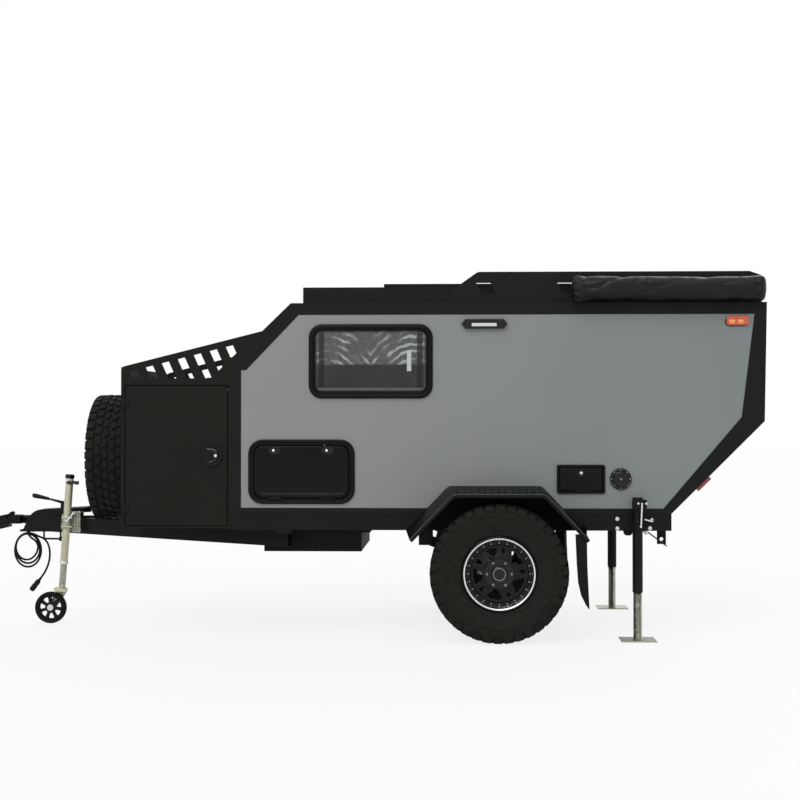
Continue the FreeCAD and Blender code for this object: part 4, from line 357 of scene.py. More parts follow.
finish = {
    "cabin": cabinFinish(),
    "trim": blackFinish("trimSatinBlack", "#101211", "#171918", 0.36, 0.48, 700.0, 0.08),
    "box": boxFinish(),
    "chassis": blackFinish("chassisBlack", "#0c0d0d", "#141414", 0.4, 0.58, 500.0, 0.15, 0.08),
    "fender": blackFinish("fenderBlack", "#07090a", "#0c1012", 0.34, 0.48, 600.0, 0.1, 0.03,
                          0.12),
    "frame": plasticFinish("framePlastic", "#0a0b0b", "#101111", 0.34, 0.46, 0.11),
    "plastic": plasticFinish("mattePlastic", "#0c0d0d", "#131414", 0.5, 0.66),
    "ledge": plasticFinish("innerLedge", "#4b4e4f", "#5c5f60", 0.4, 0.5),
    "gloss": plasticFinish("glossPlastic", "#040505", "#08090a", 0.12, 0.22, 0.32),
    "rubber": rubberFinish("flapRubber", "#0e0f0f", "#161716", 0.12),
    "tyre": rubberFinish("tyreRubber", "#151513", "#1e1e1b", 0.2),
    "alloy": blackFinish("alloyBlack", "#020203", "#060607", 0.2, 0.32, 900.0, 0.06, 0.0, 0.22),
    "dull": metalFinish("wornSteel", "#6d706f", "#8d908f", 0.34, 0.48, 500.0, 0.2),
    "bright": metalFinish("machinedAlloy", "#c9cac9", "#eeeeec", 0.16, 0.26, 260.0),
    "bolt": metalFinish("boltZinc", "#a9aba8", "#dcdcd6", 0.24, 0.36, 500.0, 0.25),
    "zinc": metalFinish("galvanised", "#8d8d84", "#bdbcb0", 0.34, 0.52, 70.0, 0.45),
    "cream": creamZinc(),
    "acrylic": acrylicFinish(),
    "amber": lensFinish("amberLens", "#a83404", "#ee5c0e", 55.0),
    "amberPale": lensFinish("amberChamber", "#f07a20", "#ffb070", 160.0),
    "red": lensFinish("redLens", "#7d0508", "#b5121a", 55.0),
    "clear": lensFinish("clearLens", "#b9bdbe", "#eef0f0", 40.0),
    "solar": solarFinish(),
    "bag": bagFinish(),
    "fabric": fabricFinish("mattressFabric", "#5c6064", "#7d8286"),
    "cable": rubberFinish("cableRubber", "#111212", "#1b1c1b", 0.15),
}
print("finishes mixed,", len(finish))


# Camera, floor and light
cameraSetup = {"place": (0.6315, -10.2267, 1.306), "tilt": 90.61, "yaw": 2.2, "lens": 72.0}
lightSetup = {"sky": 0.56, "keyPower": 1.35, "keySpread": 40.0, "fillPower": 0.55,
              "floorTone": "#f4f4f3", "floorGlow": 0.82}

camera = bpy.data.objects.new("camera", bpy.data.cameras.new("camera"))
bpy.context.scene.collection.objects.link(camera)
bpy.context.scene.camera = camera
camera.location = cameraSetup["place"]
camera.rotation_euler = Euler(
    (math.radians(cameraSetup["tilt"]), 0.0, math.radians(cameraSetup["yaw"])))
camera.data.lens, camera.data.sensor_width = cameraSetup["lens"], 36.0
camera.data.clip_end = 200.0


def seenRays(tree):
    path = tree.nodes.new("ShaderNodeLightPath")
    seen = path.outputs["Is Camera Ray"]
    for ray in ("Is Glossy Ray", "Is Transmission Ray"):
        seen = addNode(tree, "ShaderNodeMath", {"operation": "MAXIMUM"},
                       {0: seen, 1: path.outputs[ray]}).outputs[0]
    return seen


world = bpy.data.worlds.new("studio")
bpy.context.scene.world = world
world.use_nodes = True
seen = seenRays(world.node_tree)
strength = addNode(world.node_tree, "ShaderNodeMapRange", {}, {
    "Value": seen, "To Min": lightSetup["sky"], "To Max": 1.0})
background = world.node_tree.nodes["Background"]
background.inputs["Color"].default_value = (1.0, 1.0, 1.0, 1.0)
world.node_tree.links.new(strength.outputs[0], background.inputs["Strength"])

bpy.context.scene.view_settings.view_transform = "Standard"


def addSun(name, power, turn, spread):
    lamp = bpy.data.lights.new(name, "SUN")
    lamp.energy, lamp.angle = power, math.radians(spread)
    holder = bpy.data.objects.new(name, lamp)
    holder.rotation_euler = Euler([math.radians(a) for a in turn])
    bpy.context.scene.collection.objects.link(holder)


addSun("keyLight", lightSetup["keyPower"], (48.0, 0.0, -18.0), lightSetup["keySpread"])
addSun("fillLight", lightSetup["fillPower"], (55.0, 0.0, 150.0), lightSetup["keySpread"])


def addFloor():
    mesh = bpy.data.meshes.new("floor")
    far = 60.0
    mesh.from_pydata([(-far, -far, 0), (far, -far, 0), (far, far, 0), (-far, far, 0)], [],
                     [(0, 1, 2, 3)])
    floor = bpy.data.objects.new("floor", mesh)
    bpy.context.scene.collection.objects.link(floor)
    paint = Paint("paleFloor", rough=0.6)
    colour = tone(lightSetup["floorTone"]) + (1.0,)
    paint.shader.inputs["Base Color"].default_value = colour
    glow = addNode(paint.tree, "ShaderNodeEmission", {}, {"Strength": 1.0})
    glow.inputs["Color"].default_value = (1.0, 1.0, 1.0, 1.0)
    share = addNode(paint.tree, "ShaderNodeMath", {"operation": "MULTIPLY"},
                    {0: seenRays(paint.tree), 1: lightSetup["floorGlow"]})
    mix = paint.tree.nodes.new("ShaderNodeMixShader")
    paint.tree.links.new(share.outputs[0], mix.inputs[0])
    paint.tree.links.new(paint.shader.outputs[0], mix.inputs[1])
    paint.tree.links.new(glow.outputs[0], mix.inputs[2])
    paint.tree.links.new(mix.outputs[0], paint.tree.nodes["Material Output"].inputs["Surface"])
    mesh.materials.append(paint.material)


addFloor()
print("camera, light and floor set")


# Profile points are written in millimetres
def mm(points):
    return [tuple(value / 1000 for value in point) for point in points]


# Mesh building: every shape is a run of rings, skinned and closed
class Mould:
    def __init__(self, at=None):
        self.mesh = bmesh.new()
        self.at = at or Matrix()

    def ring(self, points):
        return [self.mesh.verts.new(self.at @ Vector(p)) for p in points]

    def skin(self, rings, around=True, onward=False):
        rings = [self.ring(r) for r in rings]
        pairs = list(zip(rings, rings[1:])) + ([(rings[-1], rings[0])] if onward else [])
        for first, second in pairs:
            count = len(first)
            for i in range(count if around else count - 1):
                j = (i + 1) % count
                self.mesh.faces.new((first[i], first[j], second[j], second[i]))
        if not onward:
            self.mesh.faces.new(rings[0][::-1])
            self.mesh.faces.new(rings[-1])
        return self

    def lathe(self, profile, centre, axis="Y", sides=48, closed=False):
        turn = {"X": (1, 2, 0), "Y": (2, 0, 1), "Z": (0, 1, 2)}[axis]
        rings = []
        for angle in angles(sides):
            ring = []
            for radius, along in profile:
                point = [0.0, 0.0, 0.0]
                point[turn[0]] = radius * math.cos(angle)
                point[turn[1]] = radius * math.sin(angle)
                point[turn[2]] = along
                ring.append(Vector(centre) + Vector(point))
            rings.append(ring)
        return self.skin(rings, around=closed, onward=True)

    def prism(self, outline, low, high, axis="Y", shrink=0.0, edge=0.0):
        def lift(points, level):
            place = {"X": lambda p: (level, p[0], p[1]), "Y": lambda p: (p[0], level, p[1]),
                     "Z": lambda p: (p[0], p[1], level)}[axis]
            return [place(p) for p in points]
        if not edge:
            return self.skin([lift(outline, low), lift(inset(outline, shrink), high)])
        return self.skin([lift(inset(outline, edge), low), lift(outline, low + math.copysign(
            edge, high - low)), lift(inset(outline, shrink), high - math.copysign(
                edge, high - low)), lift(inset(outline, shrink + edge), high)])

    def block(self, low, high, edge=0.0):
        (x0, y0, z0), (x1, y1, z1) = low, high
        return self.prism([(x0, y0), (x1, y0), (x1, y1), (x0, y1)], z0, z1, "Z", edge=edge)

    def rod(self, start, end, radius, sides=16, endRadius=None, edge=0.0):
        start, end = Vector(start), Vector(end)
        endRadius = radius if endRadius is None else endRadius
        along = (end - start).normalized()
        side, other = acrossOf(along)
        stops = [(start, radius), (end, endRadius)]
        if edge:
            stops = [(start, radius - edge), (start + along * edge, radius),
                     (end - along * edge, endRadius), (end, endRadius - edge)]
        return self.skin([[c + side * r * math.cos(a) + other * r * math.sin(a)
                           for a in angles(sides)] for c, r in stops])

    def tube(self, points, radius, sides=10, closed=False):
        points = [Vector(p) for p in points]
        rings, across = [], None
        for i, point in enumerate(points):
            before = points[i - 1] if (i or closed) else point
            after = points[(i + 1) % len(points)] if (i + 1 < len(points) or closed) else point
            along = (after - before).normalized()
            if across is None:
                across = acrossOf(along)[0]
            across = (across - along * across.dot(along)).normalized()
            other = along.cross(across)
            rings.append([point + across * radius * math.cos(a) + other * radius * math.sin(a)
                          for a in angles(sides)])
        return self.skin(rings, onward=closed)

    # A flat sheet with holes: cut fine enough to bend, then given its thickness
    def fill(self, outer, holes, low, high, pieceSize=0.0, bend=None):
        edges = []
        for loop in [outer] + holes:
            verts = self.ring([(x, low, z) for x, z in loop])
            edges += [self.mesh.edges.new((verts[i - 1], verts[i])) for i in range(len(verts))]
        flat = bmesh.ops.triangle_fill(self.mesh, use_beauty=True, edges=edges)
        faces = [f for f in flat["geom"] if isinstance(f, bmesh.types.BMFace)]
        for _ in range(4 if pieceSize else 0):
            long = {e for f in faces for e in f.edges if e.calc_length() > pieceSize
                    and not e.is_boundary}
            if not long:
                break
            cut = bmesh.ops.subdivide_edges(self.mesh, edges=list(long), cuts=1)
            touched = {f for v in cut["geom_inner"] for f in v.link_faces}
            bmesh.ops.triangulate(self.mesh, faces=[f for f in touched if len(f.verts) > 3])
            seenFaces, stack = set(), [next(iter(touched))]
            while stack:
                face = stack.pop()
                if face not in seenFaces:
                    seenFaces.add(face)
                    stack += [g for e in face.edges for g in e.link_faces]
            faces = list(seenFaces)
        grown = bmesh.ops.extrude_face_region(self.mesh, geom=faces)
        top = [v for v in grown["geom"] if isinstance(v, bmesh.types.BMVert)]
        bmesh.ops.translate(self.mesh, verts=top,
                            vec=self.at.to_3x3() @ Vector((0.0, high - low, 0.0)))
        if bend:
            for vert in {v for f in faces for v in f.verts} | set(top):
                vert.co = bend(vert.co)
        return self

    def mesh3d(self):
        bmesh.ops.remove_doubles(self.mesh, verts=self.mesh.verts[:], dist=1e-5)
        bmesh.ops.recalc_face_normals(self.mesh, faces=self.mesh.faces[:])
        data = bpy.data.meshes.new("part")
        self.mesh.to_mesh(data)
        self.mesh.free()
        return data

    def done(self, name, body, look, **options):
        return settle(self.mesh3d(), name, body, look, **options)


def applied(piece):
    graph = bpy.context.evaluated_depsgraph_get()
    piece.data = bpy.data.meshes.new_from_object(piece.evaluated_get(graph))
    piece.modifiers.clear()
    return piece.data


# A finished piece: edges softened, shaded, put on its body with its finish
def settle(data, name, body, look, edge=0.0, smooth=38.0, subdivide=0, replaces=(), even=False):
    piece = bpy.data.objects.new(name, data)
    bpy.context.scene.collection.objects.link(piece)
    data.materials.clear()
    data.materials.append(finish[look])
    if edge:
        bevel = piece.modifiers.new("softEdges", "BEVEL")
        bevel.width, bevel.segments = edge, 2
        bevel.limit_method, bevel.angle_limit = "ANGLE", math.radians(32.0)
    if subdivide:
        round = piece.modifiers.new("smoothed", "SUBSURF")
        round.levels = round.render_levels = subdivide
    if edge or subdivide:
        applied(piece)
    shade(piece.data, smooth)
    if even:  # large faces stay flat beside their soft edges
        weigh = piece.modifiers.new("evenShade", "WEIGHTED_NORMAL")
        weigh.keep_sharp, weigh.weight = True, 90
        applied(piece)
    piece.data.name = name
    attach(piece, body)
    if replaces:
        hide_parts(*([replaces] if isinstance(replaces, str) else replaces))
    return piece


def shade(data, smooth):
    data.shade_smooth()
    data.set_sharp_from_angle(angle=math.radians(smooth))


def angles(count, start=0.0):
    return [math.radians(start) + 2 * math.pi * i / count for i in range(count)]


def acrossOf(along):
    side = along.cross(Vector((0, 0, 1)) if abs(along.z) < 0.9 else Vector((1, 0, 0)))
    side.normalize()
    return side, along.cross(side).normalized()


def signedArea(points):
    return sum(a[0] * b[1] - b[0] * a[1] for a, b in zip(points, points[1:] + points[:1])) / 2


def inset(points, width):
    if not width:
        return list(points)
    side = 1.0 if signedArea(list(points)) > 0 else -1.0
    out = []
    for i in range(len(points)):
        a, b, c = (Vector(points[i - 1]), Vector(points[i]), Vector(points[(i + 1) % len(points)]))
        first, second = (b - a).normalized(), (c - b).normalized()
        n1, n2 = Vector((-first.y, first.x)), Vector((-second.y, second.x))
        lean = (n1 + n2) / max(0.35, 1.0 + n1.dot(n2))
        out.append(tuple(b + lean * width * side))
    return out


def rounded(x0, x1, z0, z1, corner, steps=8):
    corner = min(corner, (x1 - x0) / 2 - 1e-5, (z1 - z0) / 2 - 1e-5)
    out = []
    for cx, cz, start in ((x1 - corner, z1 - corner, 0), (x0 + corner, z1 - corner, 90),
                          (x0 + corner, z0 + corner, 180), (x1 - corner, z0 + corner, 270)):
        out += [(cx + corner * math.cos(math.radians(start + 90 * i / steps)),
                 cz + corner * math.sin(math.radians(start + 90 * i / steps)))
                for i in range(steps + 1)]
    return out


def circle(x, z, radius, count=32, start=0.0):
    return [(x + radius * math.cos(a), z + radius * math.sin(a)) for a in angles(count, start)]


# Geometry Nodes: one unit, set out round an axis or along rows
def repeatTree(name, round):
    tree = bpy.data.node_groups.new(name, "GeometryNodeTree")
    face = tree.interface
    for label, kind in (("Unit", "NodeSocketObject"), ("Count", "NodeSocketInt"),
                        ("Rows", "NodeSocketInt"), ("Centre", "NodeSocketVector"),
                        ("Step", "NodeSocketVector"), ("Row Step", "NodeSocketVector"),
                        ("Turn", "NodeSocketVector"), ("Material", "NodeSocketMaterial")):
        face.new_socket(label, in_out="INPUT", socket_type=kind)
    face.new_socket("Geometry", in_out="OUTPUT", socket_type="NodeSocketGeometry")

    def put(kind, settings=None, **sockets):
        node = addNode(tree, kind, settings or {}, {})
        for key, value in sockets.items():
            target = node.inputs[key.replace("_", " ")]
            if isinstance(value, bpy.types.NodeSocket):
                tree.links.new(value, target)
            else:
                target.default_value = value
        return node.outputs

    def vector(operation, first, second, scale=None):
        node = tree.nodes.new("ShaderNodeVectorMath")
        node.operation = operation
        tree.links.new(first, node.inputs[0])
        if second is not None:
            tree.links.new(second, node.inputs[1])
        if scale is not None:
            tree.links.new(scale, node.inputs["Scale"])
        return node.outputs[0]

    def number(operation, first, second):
        node = tree.nodes.new("ShaderNodeMath")
        node.operation = operation
        for socket, value in zip(node.inputs, (first, second)):
            if isinstance(value, bpy.types.NodeSocket):
                tree.links.new(value, socket)
            else:
                socket.default_value = value
        return node.outputs[0]

    given = tree.nodes.new("NodeGroupInput").outputs
    total = number("MULTIPLY", given["Count"], given["Rows"])
    points = put("GeometryNodePoints", Count=total)["Points"]
    index = put("GeometryNodeInputIndex")["Index"]
    column = number("FLOORED_MODULO", index, given["Count"])
    row = number("FLOOR", number("DIVIDE", index, given["Count"]), 0.0)
    if round:
        turned = vector("SCALE", given["Turn"], None, index)
        turned = put("FunctionNodeEulerToRotation", Euler=turned)["Rotation"]
        placed = given["Centre"]
    else:
        placed = vector("ADD", given["Centre"], vector("SCALE", given["Step"], None, column))
        placed = vector("ADD", placed, vector("SCALE", given["Row Step"], None, row))
        flip = number("FLOORED_MODULO", number("ADD", column, row), 2.0)
        turned = put("FunctionNodeEulerToRotation",
                     Euler=vector("SCALE", given["Turn"], None, flip))["Rotation"]
    points = put("GeometryNodeSetPosition", Geometry=points, Position=placed)["Geometry"]
    unit = put("GeometryNodeObjectInfo", {"transform_space": "ORIGINAL"}, Object=given["Unit"])
    copies = put("GeometryNodeInstanceOnPoints", Points=points, Instance=unit["Geometry"],
                 Rotation=turned)["Instances"]
    real = put("GeometryNodeRealizeInstances", Geometry=copies)["Geometry"]
    real = put("GeometryNodeSetMaterial", Geometry=real, Material=given["Material"])["Geometry"]
    tree.links.new(real, tree.nodes.new("NodeGroupOutput").inputs[0])
    return tree


ringOf, rowsOf = repeatTree("setRound", True), repeatTree("setInRows", False)


def repeated(tree, unit, look, count, centre, step=(0, 0, 0), rows=1, rowStep=(0, 0, 0),
             turn=(0, 0, 0)):
    pattern = bpy.data.objects.new("unit", unit.mesh3d() if isinstance(unit, Mould) else unit)
    carrier = bpy.data.objects.new("carrier", bpy.data.meshes.new("carrier"))
    for thing in (pattern, carrier):
        bpy.context.scene.collection.objects.link(thing)
    modifier = carrier.modifiers.new("repeat", "NODES")
    modifier.node_group = tree
    values = {"Unit": pattern, "Count": count, "Rows": rows, "Centre": centre, "Step": step,
              "Row Step": rowStep, "Turn": turn, "Material": finish[look]}
    for item in tree.interface.items_tree:
        if item.in_out == "INPUT":
            modifier[item.identifier] = values[item.name]
    data = applied(carrier)
    for thing in (carrier, pattern):
        bpy.data.objects.remove(thing)
    return data


def joinMeshes(meshes):
    whole = bmesh.new()
    for data in meshes:
        whole.from_mesh(data)
    out = bpy.data.meshes.new("joined")
    whole.to_mesh(out)
    whole.free()
    return out


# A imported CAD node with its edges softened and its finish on
def dress(node, look, edge):
    source = frame["nodes"][node]
    work = bmesh.new()
    work.from_mesh(source.data)
    bmesh.ops.remove_doubles(work, verts=work.verts[:], dist=2e-5)
    bmesh.ops.dissolve_limit(work, angle_limit=math.radians(0.6), verts=work.verts[:],
                             edges=work.edges[:], delimit={"NORMAL"})
    if edge:
        sharp = [e for e in work.edges if len(e.link_faces) == 2 and e.is_manifold
                 and e.calc_face_angle(0.0) > math.radians(35.0) and e.calc_length() > edge * 3]
        bmesh.ops.bevel(work, geom=sharp, offset=edge, segments=1, affect="EDGES",
                        clamp_overlap=True, profile=0.5)
    data = bpy.data.meshes.new(node)
    work.to_mesh(data)
    work.free()
    return settle(data, node + "Dressed", bodyOf[node], look, smooth=50.0, replaces=node,
                  even=True)


bodyOf = {node: body for body, nodes in frame["record"]["behaviour"]["bodies"].items()
          for node in nodes}
print("tools ready")


# The lead that hangs in loose turns under the nose
leadSetup = {
    "radius": 0.0065, "tie": (-2.154, 0.56), "turns": 2.8, "perTurn": 14,
    "firstSize": (0.07, 0.084), "lastSize": (0.095, 0.115), "depth": (-0.0455, -0.015),
    "exit": (-2.146, -0.047, 0.572), "exitBend": 0.055, "exitLean": 64.0, "endAngle": 72.0,
    "tail": mm([(-2087, 540), (-2051, 528), (-2023, 495), (-2011, 447), (-2012, 400), (-2022, 358),
                (-2038, 320), (-2056, 290), (-2074, 267)]),
    "tailDepth": -0.03, "plugEnd": (-2.1344, 0.1898), "length": 2.044,
}


def leadPoints():
    setup = leadSetup
    x0, y0, z0 = setup["exit"]
    bend, lean = setup["exitBend"], math.radians(setup["exitLean"])
    arc = [(bend * (1 - math.cos(lean * k / 4)), bend * math.sin(lean * k / 4)) for k in range(5)]
    points = [(x0 + out, y0, z0 - down) for out, down in arc]
    points += [(x0 + 2 * arc[-1][0] - out, y0, z0 - 2 * arc[-1][1] + down)
               for out, down in arc[3:0:-1]]
    steps = round(setup["turns"] * setup["perTurn"])
    first = setup["endAngle"] + setup["turns"] * 360.0
    for i in range(steps + 1):
        share = i / steps
        angle = math.radians(first - share * setup["turns"] * 360.0)
        wide = setup["firstSize"][0] + share * (setup["lastSize"][0] - setup["firstSize"][0])
        tall = setup["firstSize"][1] + share * (setup["lastSize"][1] - setup["firstSize"][1])
        drift = 0.0024 * math.sin(1.7 * angle)
        deep = setup["depth"][0] + min(1.0, share * 1.12) * (
            setup["depth"][1] - setup["depth"][0])
        points.append((setup["tie"][0] + (wide + drift) * math.cos(angle), deep,
                       setup["tie"][1] - tall + (tall + drift) * math.sin(angle)))
    points += [(x, setup["tailDepth"], z) for x, z in setup["tail"]]
    return points


def addLead():
    setup = leadSetup
    line = bpy.data.curves.new("powerLead", "CURVE")
    line.dimensions = "3D"
    spline = line.splines.new("NURBS")
    points = leadPoints()
    spline.points.add(len(points) - 1)
    for spot, point in zip(spline.points, points):
        spot.co = (*point, 1.0)
    spline.order_u = 3
    spline.use_endpoint_u = True
    spline.resolution_u = 6
    line.bevel_depth, line.bevel_resolution = setup["radius"], 3
    line.use_fill_caps = True
    lead = bpy.data.objects.new("powerLead", line)
    bpy.context.scene.collection.objects.link(lead)
    line.materials.append(finish["cable"])
    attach(lead, "trailer")
    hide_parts("cable", "cable_coil")
    return lead


def addPlug():
    start, end = (Vector((x, leadSetup["tailDepth"], z))
                  for x, z in (leadSetup["tail"][-1], leadSetup["plugEnd"]))
    along = (end - start).normalized()
    side, other = acrossOf(along)
    profile = mm([(-12, 6.8), (0, 8.5), (14, 10.5), (16, 15), (22, 16.5), (40, 16.8), (42, 15.5),
                  (46, 15.5), (48, 17), (88, 17), (92, 15.5), (93.5, 13)])
    plug = Mould()
    plug.skin([[start + along * d + side * r * math.cos(a) + other * r * math.sin(a)
                for a in angles(28)] for d, r in profile])
    for a in angles(14):  # grip ribs
        spot = start + (side * math.cos(a) + other * math.sin(a)) * 0.0165
        plug.rod(spot + along * 0.05, spot + along * 0.084, 0.0011, 6)
    return plug.done("leadPlug", "trailer", "plastic", smooth=40.0, replaces="cable_plug")


lead, plug = addLead(), addPlug()
2 * leadSetup["radius"]
print("lead hung")


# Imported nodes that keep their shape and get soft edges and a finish
dressing = {
    "cabin": ["side_walls"],
    "trim": ["side_trims", "front_wall", "roof_panel", "roof_plates", "poptop_lid"],
    "box": ["storage_box", "box_sides", "box_door_left", "box_door_right"],
    "chassis": ["chassis_frame", "leg_mounts", "drawbar", "suspension_arms", "spare_carrier",
                "coupling_yoke", "coupling_head", "leg_outer_left", "leg_outer_right",
                "floor_panel"],
    "frame": ["opening_frames", "entry_door", "baggage_door", "service_hatch"],
    "plastic": ["water_tank", "water_filler"],
    "gloss": ["porch_light"],
    "zinc": ["leg_inner_left", "leg_inner_right", "jack_inner_tube"],
    "cabinRear": ["rear_slope_wall", "rear_hatch"],
    "red": ["tail_lamps"],
    "amber": ["side_markers"],
    "acrylic": ["entry_pane"],
}
finish["cabinRear"] = finish["cabin"]
plainNodes = {"side_walls", "entry_pane"}
for look, nodes in dressing.items():
    for node in nodes:
        dress(node, look, edge=0.0 if node in plainNodes else 0.0014)
print("packed nodes dressed")


# Wheels: made once with the outer side towards -Y, then set in their three places
wheelSetup = {
    "pitches": 19,
    "windowAngle": 42.0, "windowIn": 0.088, "windowOut": 0.151, "windowHalf": 19.0,
    "slitAngle": 6.0, "slitIn": 0.116, "slitOut": 0.147, "boltRing": 0.177, "bolts": 24,
}


def treadUnit():
    unit = Mould()
    for k, reach in ((0, 0.346), (1, 0.364)):
        unit.at = Matrix.Rotation(k * math.pi / wheelSetup["pitches"], 4, "Y")
        block = mm([(-26, -13), (-9, -20), (23, -13), (27, 10), (6, 18), (-24, 13)])
        unit.prism(block, 0.3855, 0.402, "Z", shrink=0.0012)
        for side in (-1, 1):
            shift = 0.016 * side
            middle = mm([(-27, 27), (-4, 23), (22, 31), (24, 58), (-3, 66), (-24, 57)])
            unit.prism([(x + shift, y * side) for x, y in middle], 0.3855, 0.4017, "Z",
                       shrink=0.0012)
            lug = [(0.0725, 0.385), (0.0745, 0.401), (0.108, 0.3998), (0.1215, 0.3935),
                   (0.13, 0.376), (0.1325, reach + 0.006), (0.1312, reach),
                   (0.123, reach + 0.004), (0.12, 0.38)]
            wide = 0.0225 if k else 0.0255
            unit.prism([(y * side, z) for y, z in lug], -wide - shift / 2, wide - shift / 2,
                       "X", edge=0.0016)
    return unit


def tyreMesh():
    setup = wheelSetup
    side = mm([(220.5, 100), (223, 107), (231, 111), (238, 112.8), (240, 116), (247, 118),
               (252, 118.4), (254.5, 121), (262, 123.5), (285, 127.8), (305, 130), (307.2, 131.2),
               (311, 131.4), (313.5, 130.6), (335, 130.6), (337.2, 131.4), (340, 131.2),
               (344, 130), (362, 126.8), (377, 120), (386, 108), (390.5, 70), (391.5, 30)])
    profile = side + [(r, -y) for r, y in reversed(side)]
    shell = Mould()
    shell.lathe(profile, (0, 0, 0), "Y", 96, closed=True)
    turn = 2 * math.pi / setup["pitches"]
    lugs = repeated(ringOf, treadUnit(), "tyre", setup["pitches"], (0, 0, 0), turn=(0, turn, 0))
    rib = Mould()
    for side in (-1.0, 1.0):
        for k, (low, high) in enumerate(((0.342, 0.37), (0.348, 0.364), (0.342, 0.356))):
            rib.at = Matrix.Rotation(k * turn / 3 + 0.05, 4, "Y")
            rib.skin([[(-0.005, side * 0.124, low), (0.005, side * 0.124, low),
                       (0.006, side * 0.118, high), (-0.006, side * 0.118, high)],
                      [(-0.004, side * 0.1322, low + 0.001), (0.004, side * 0.1322, low + 0.001),
                       (0.005, side * 0.1285, high), (-0.005, side * 0.1285, high)]])
    ribs = repeated(ringOf, rib, "tyre", setup["pitches"], (0, 0, 0), turn=(0, turn, 0))
    fine = Mould()
    fine.block((-0.0011, -0.133, 0.315), (0.0011, -0.129, 0.333), 0.0)
    fines = repeated(ringOf, fine, "tyre", setup["pitches"] * 6, (0, 0, 0),
                     turn=(0, turn / 6, 0))
    return joinMeshes([shell.mesh3d(), lugs, ribs, fines])


def polar(points):
    return [(r * math.cos(math.radians(a)), r * math.sin(math.radians(a))) for r, a in points]


def spokeMesh():
    setup = wheelSetup
    holes = []
    for k in range(5):
        mid = setup["windowAngle"] + 72.0 * k
        half, inner, outer = setup["windowHalf"], setup["windowIn"], setup["windowOut"]
        arc = [(outer, mid + half - 3.0 - (2 * half - 6.0) * i / 10) for i in range(11)]
        arc[0:0] = [(outer - 0.01, mid + half), (outer - 0.003, mid + half - 1.0)]
        arc += [(outer - 0.003, mid - half + 1.0), (outer - 0.01, mid - half)]
        arc += [(inner + 0.012, mid - 9.5), (inner + 0.003, mid - 6.0), (inner, mid),
                (inner + 0.003, mid + 6.0), (inner + 0.012, mid + 9.5)]
        holes.append(polar(arc))
        mid = setup["slitAngle"] + 72.0 * k
        slit = [(setup["slitOut"] - 0.003, mid + 5.6), (setup["slitOut"], mid + 4.6),
                (setup["slitOut"], mid), (setup["slitOut"], mid - 4.6),
                (setup["slitOut"] - 0.003, mid - 5.6), (setup["slitIn"] + 0.003, mid - 3.2),
                (setup["slitIn"], mid), (setup["slitIn"] + 0.003, mid + 3.2)]
        holes.append(polar(slit))

    def dish(point):
        radius = math.hypot(point.x, point.z)
        share = min(1.0, max(0.0, (radius - 0.07) / 0.085))
        return Vector((point.x, point.y + 0.014 * share * share * (3 - 2 * share), point.z))

    disc = Mould()
    disc.fill(circle(0, 0, 0.17, 96), holes + [circle(0, 0, 0.03, 32)], -0.078, -0.062,
              pieceSize=0.02, bend=dish)
    return disc.mesh3d()


def wheelPieces():
    setup = wheelSetup
    barrel = Mould()
    barrel.lathe(mm([(213, -112), (216.5, -110.5), (218, -107), (216.5, -99), (219.5, -96),
                     (219.5, 96), (216.5, 99), (218, 107), (216.5, 110.5), (213, 112), (206, 108),
                     (202, 96), (198, 80), (196, 30), (184, 10), (180, -30), (170, -50),
                     (165, -64), (169, -69), (184, -69.5), (190, -67), (206, -66), (206.5, -105)]),
                 (0, 0, 0), "Y", 96, closed=True)
    ring = Mould()
    ring.lathe(mm([(183, -64), (183.8, -70), (197.5, -108), (201, -112), (207, -112.5),
                   (208, -109), (208, -64)]), (0, 0, 0), "Y", 128,
               closed=True)
    bolt = Mould()
    bolt.lathe(mm([(0, -75.5), (2.4, -75), (4, -72.5), (4.2, -68)]),
               (setup["boltRing"], 0, 0), "Y", 10)
    bolts = repeated(ringOf, bolt, "bolt", setup["bolts"], (0, 0, 0),
                     turn=(0, 2 * math.pi / setup["bolts"], 0))
    hub = Mould()
    hub.lathe(mm([(0, -115), (30, -115), (42, -112), (47.5, -106), (49, -90), (50.5, -82),
                  (86, -81), (88, -78), (88, -60), (30, -60), (30, -50), (94, -46), (96, -44),
                  (96, 30), (90, 34), (0, 34)]),
              (0, 0, 0), "Y", 64)
    crown = Mould()
    crown.lathe(mm([(33, -114.8), (33.8, -115.8), (35.2, -115.8), (36, -114)]),
                (0, 0, 0), "Y", 48, closed=True)
    nut = Mould()
    nut.lathe(mm([(0, -104), (4.5, -103.5), (7, -101), (8.5, -99)]),
              (0.07, 0, 0), "Y", 12)
    nut.prism(circle(0.07, 0, 0.0098, 6), -0.0995, -0.084, "Y", edge=0.0008)
    nut.lathe(mm([(13, -86.5), (13.5, -85), (13.5, -80)]), (0.07, 0, 0), "Y", 20)
    nuts = repeated(ringOf, nut, "bolt", 6, (0, 0, 0), turn=(0, math.pi / 3, 0))
    return [("tyre", tyreMesh(), "tyre", "tyre_{}", 0.0, 30.0),
            ("rim", barrel.mesh3d(), "alloy", "rim_{}", 0.0, 40.0),
            ("rimSpokes", spokeMesh(), "alloy", None, 0.0022, 40.0),
            ("rimRing", ring.mesh3d(), "bright", None, 0.0, 50.0),
            ("rimBolts", bolts, "bolt", None, 0.0, 40.0),
            ("hub", hub.mesh3d(), "gloss", "hub_{}", 0.0, 35.0),
            ("hubCrown", crown.mesh3d(), "bolt", None, 0.0, 40.0),
            ("wheelNuts", nuts, "dull", None, 0.0, 30.0)]


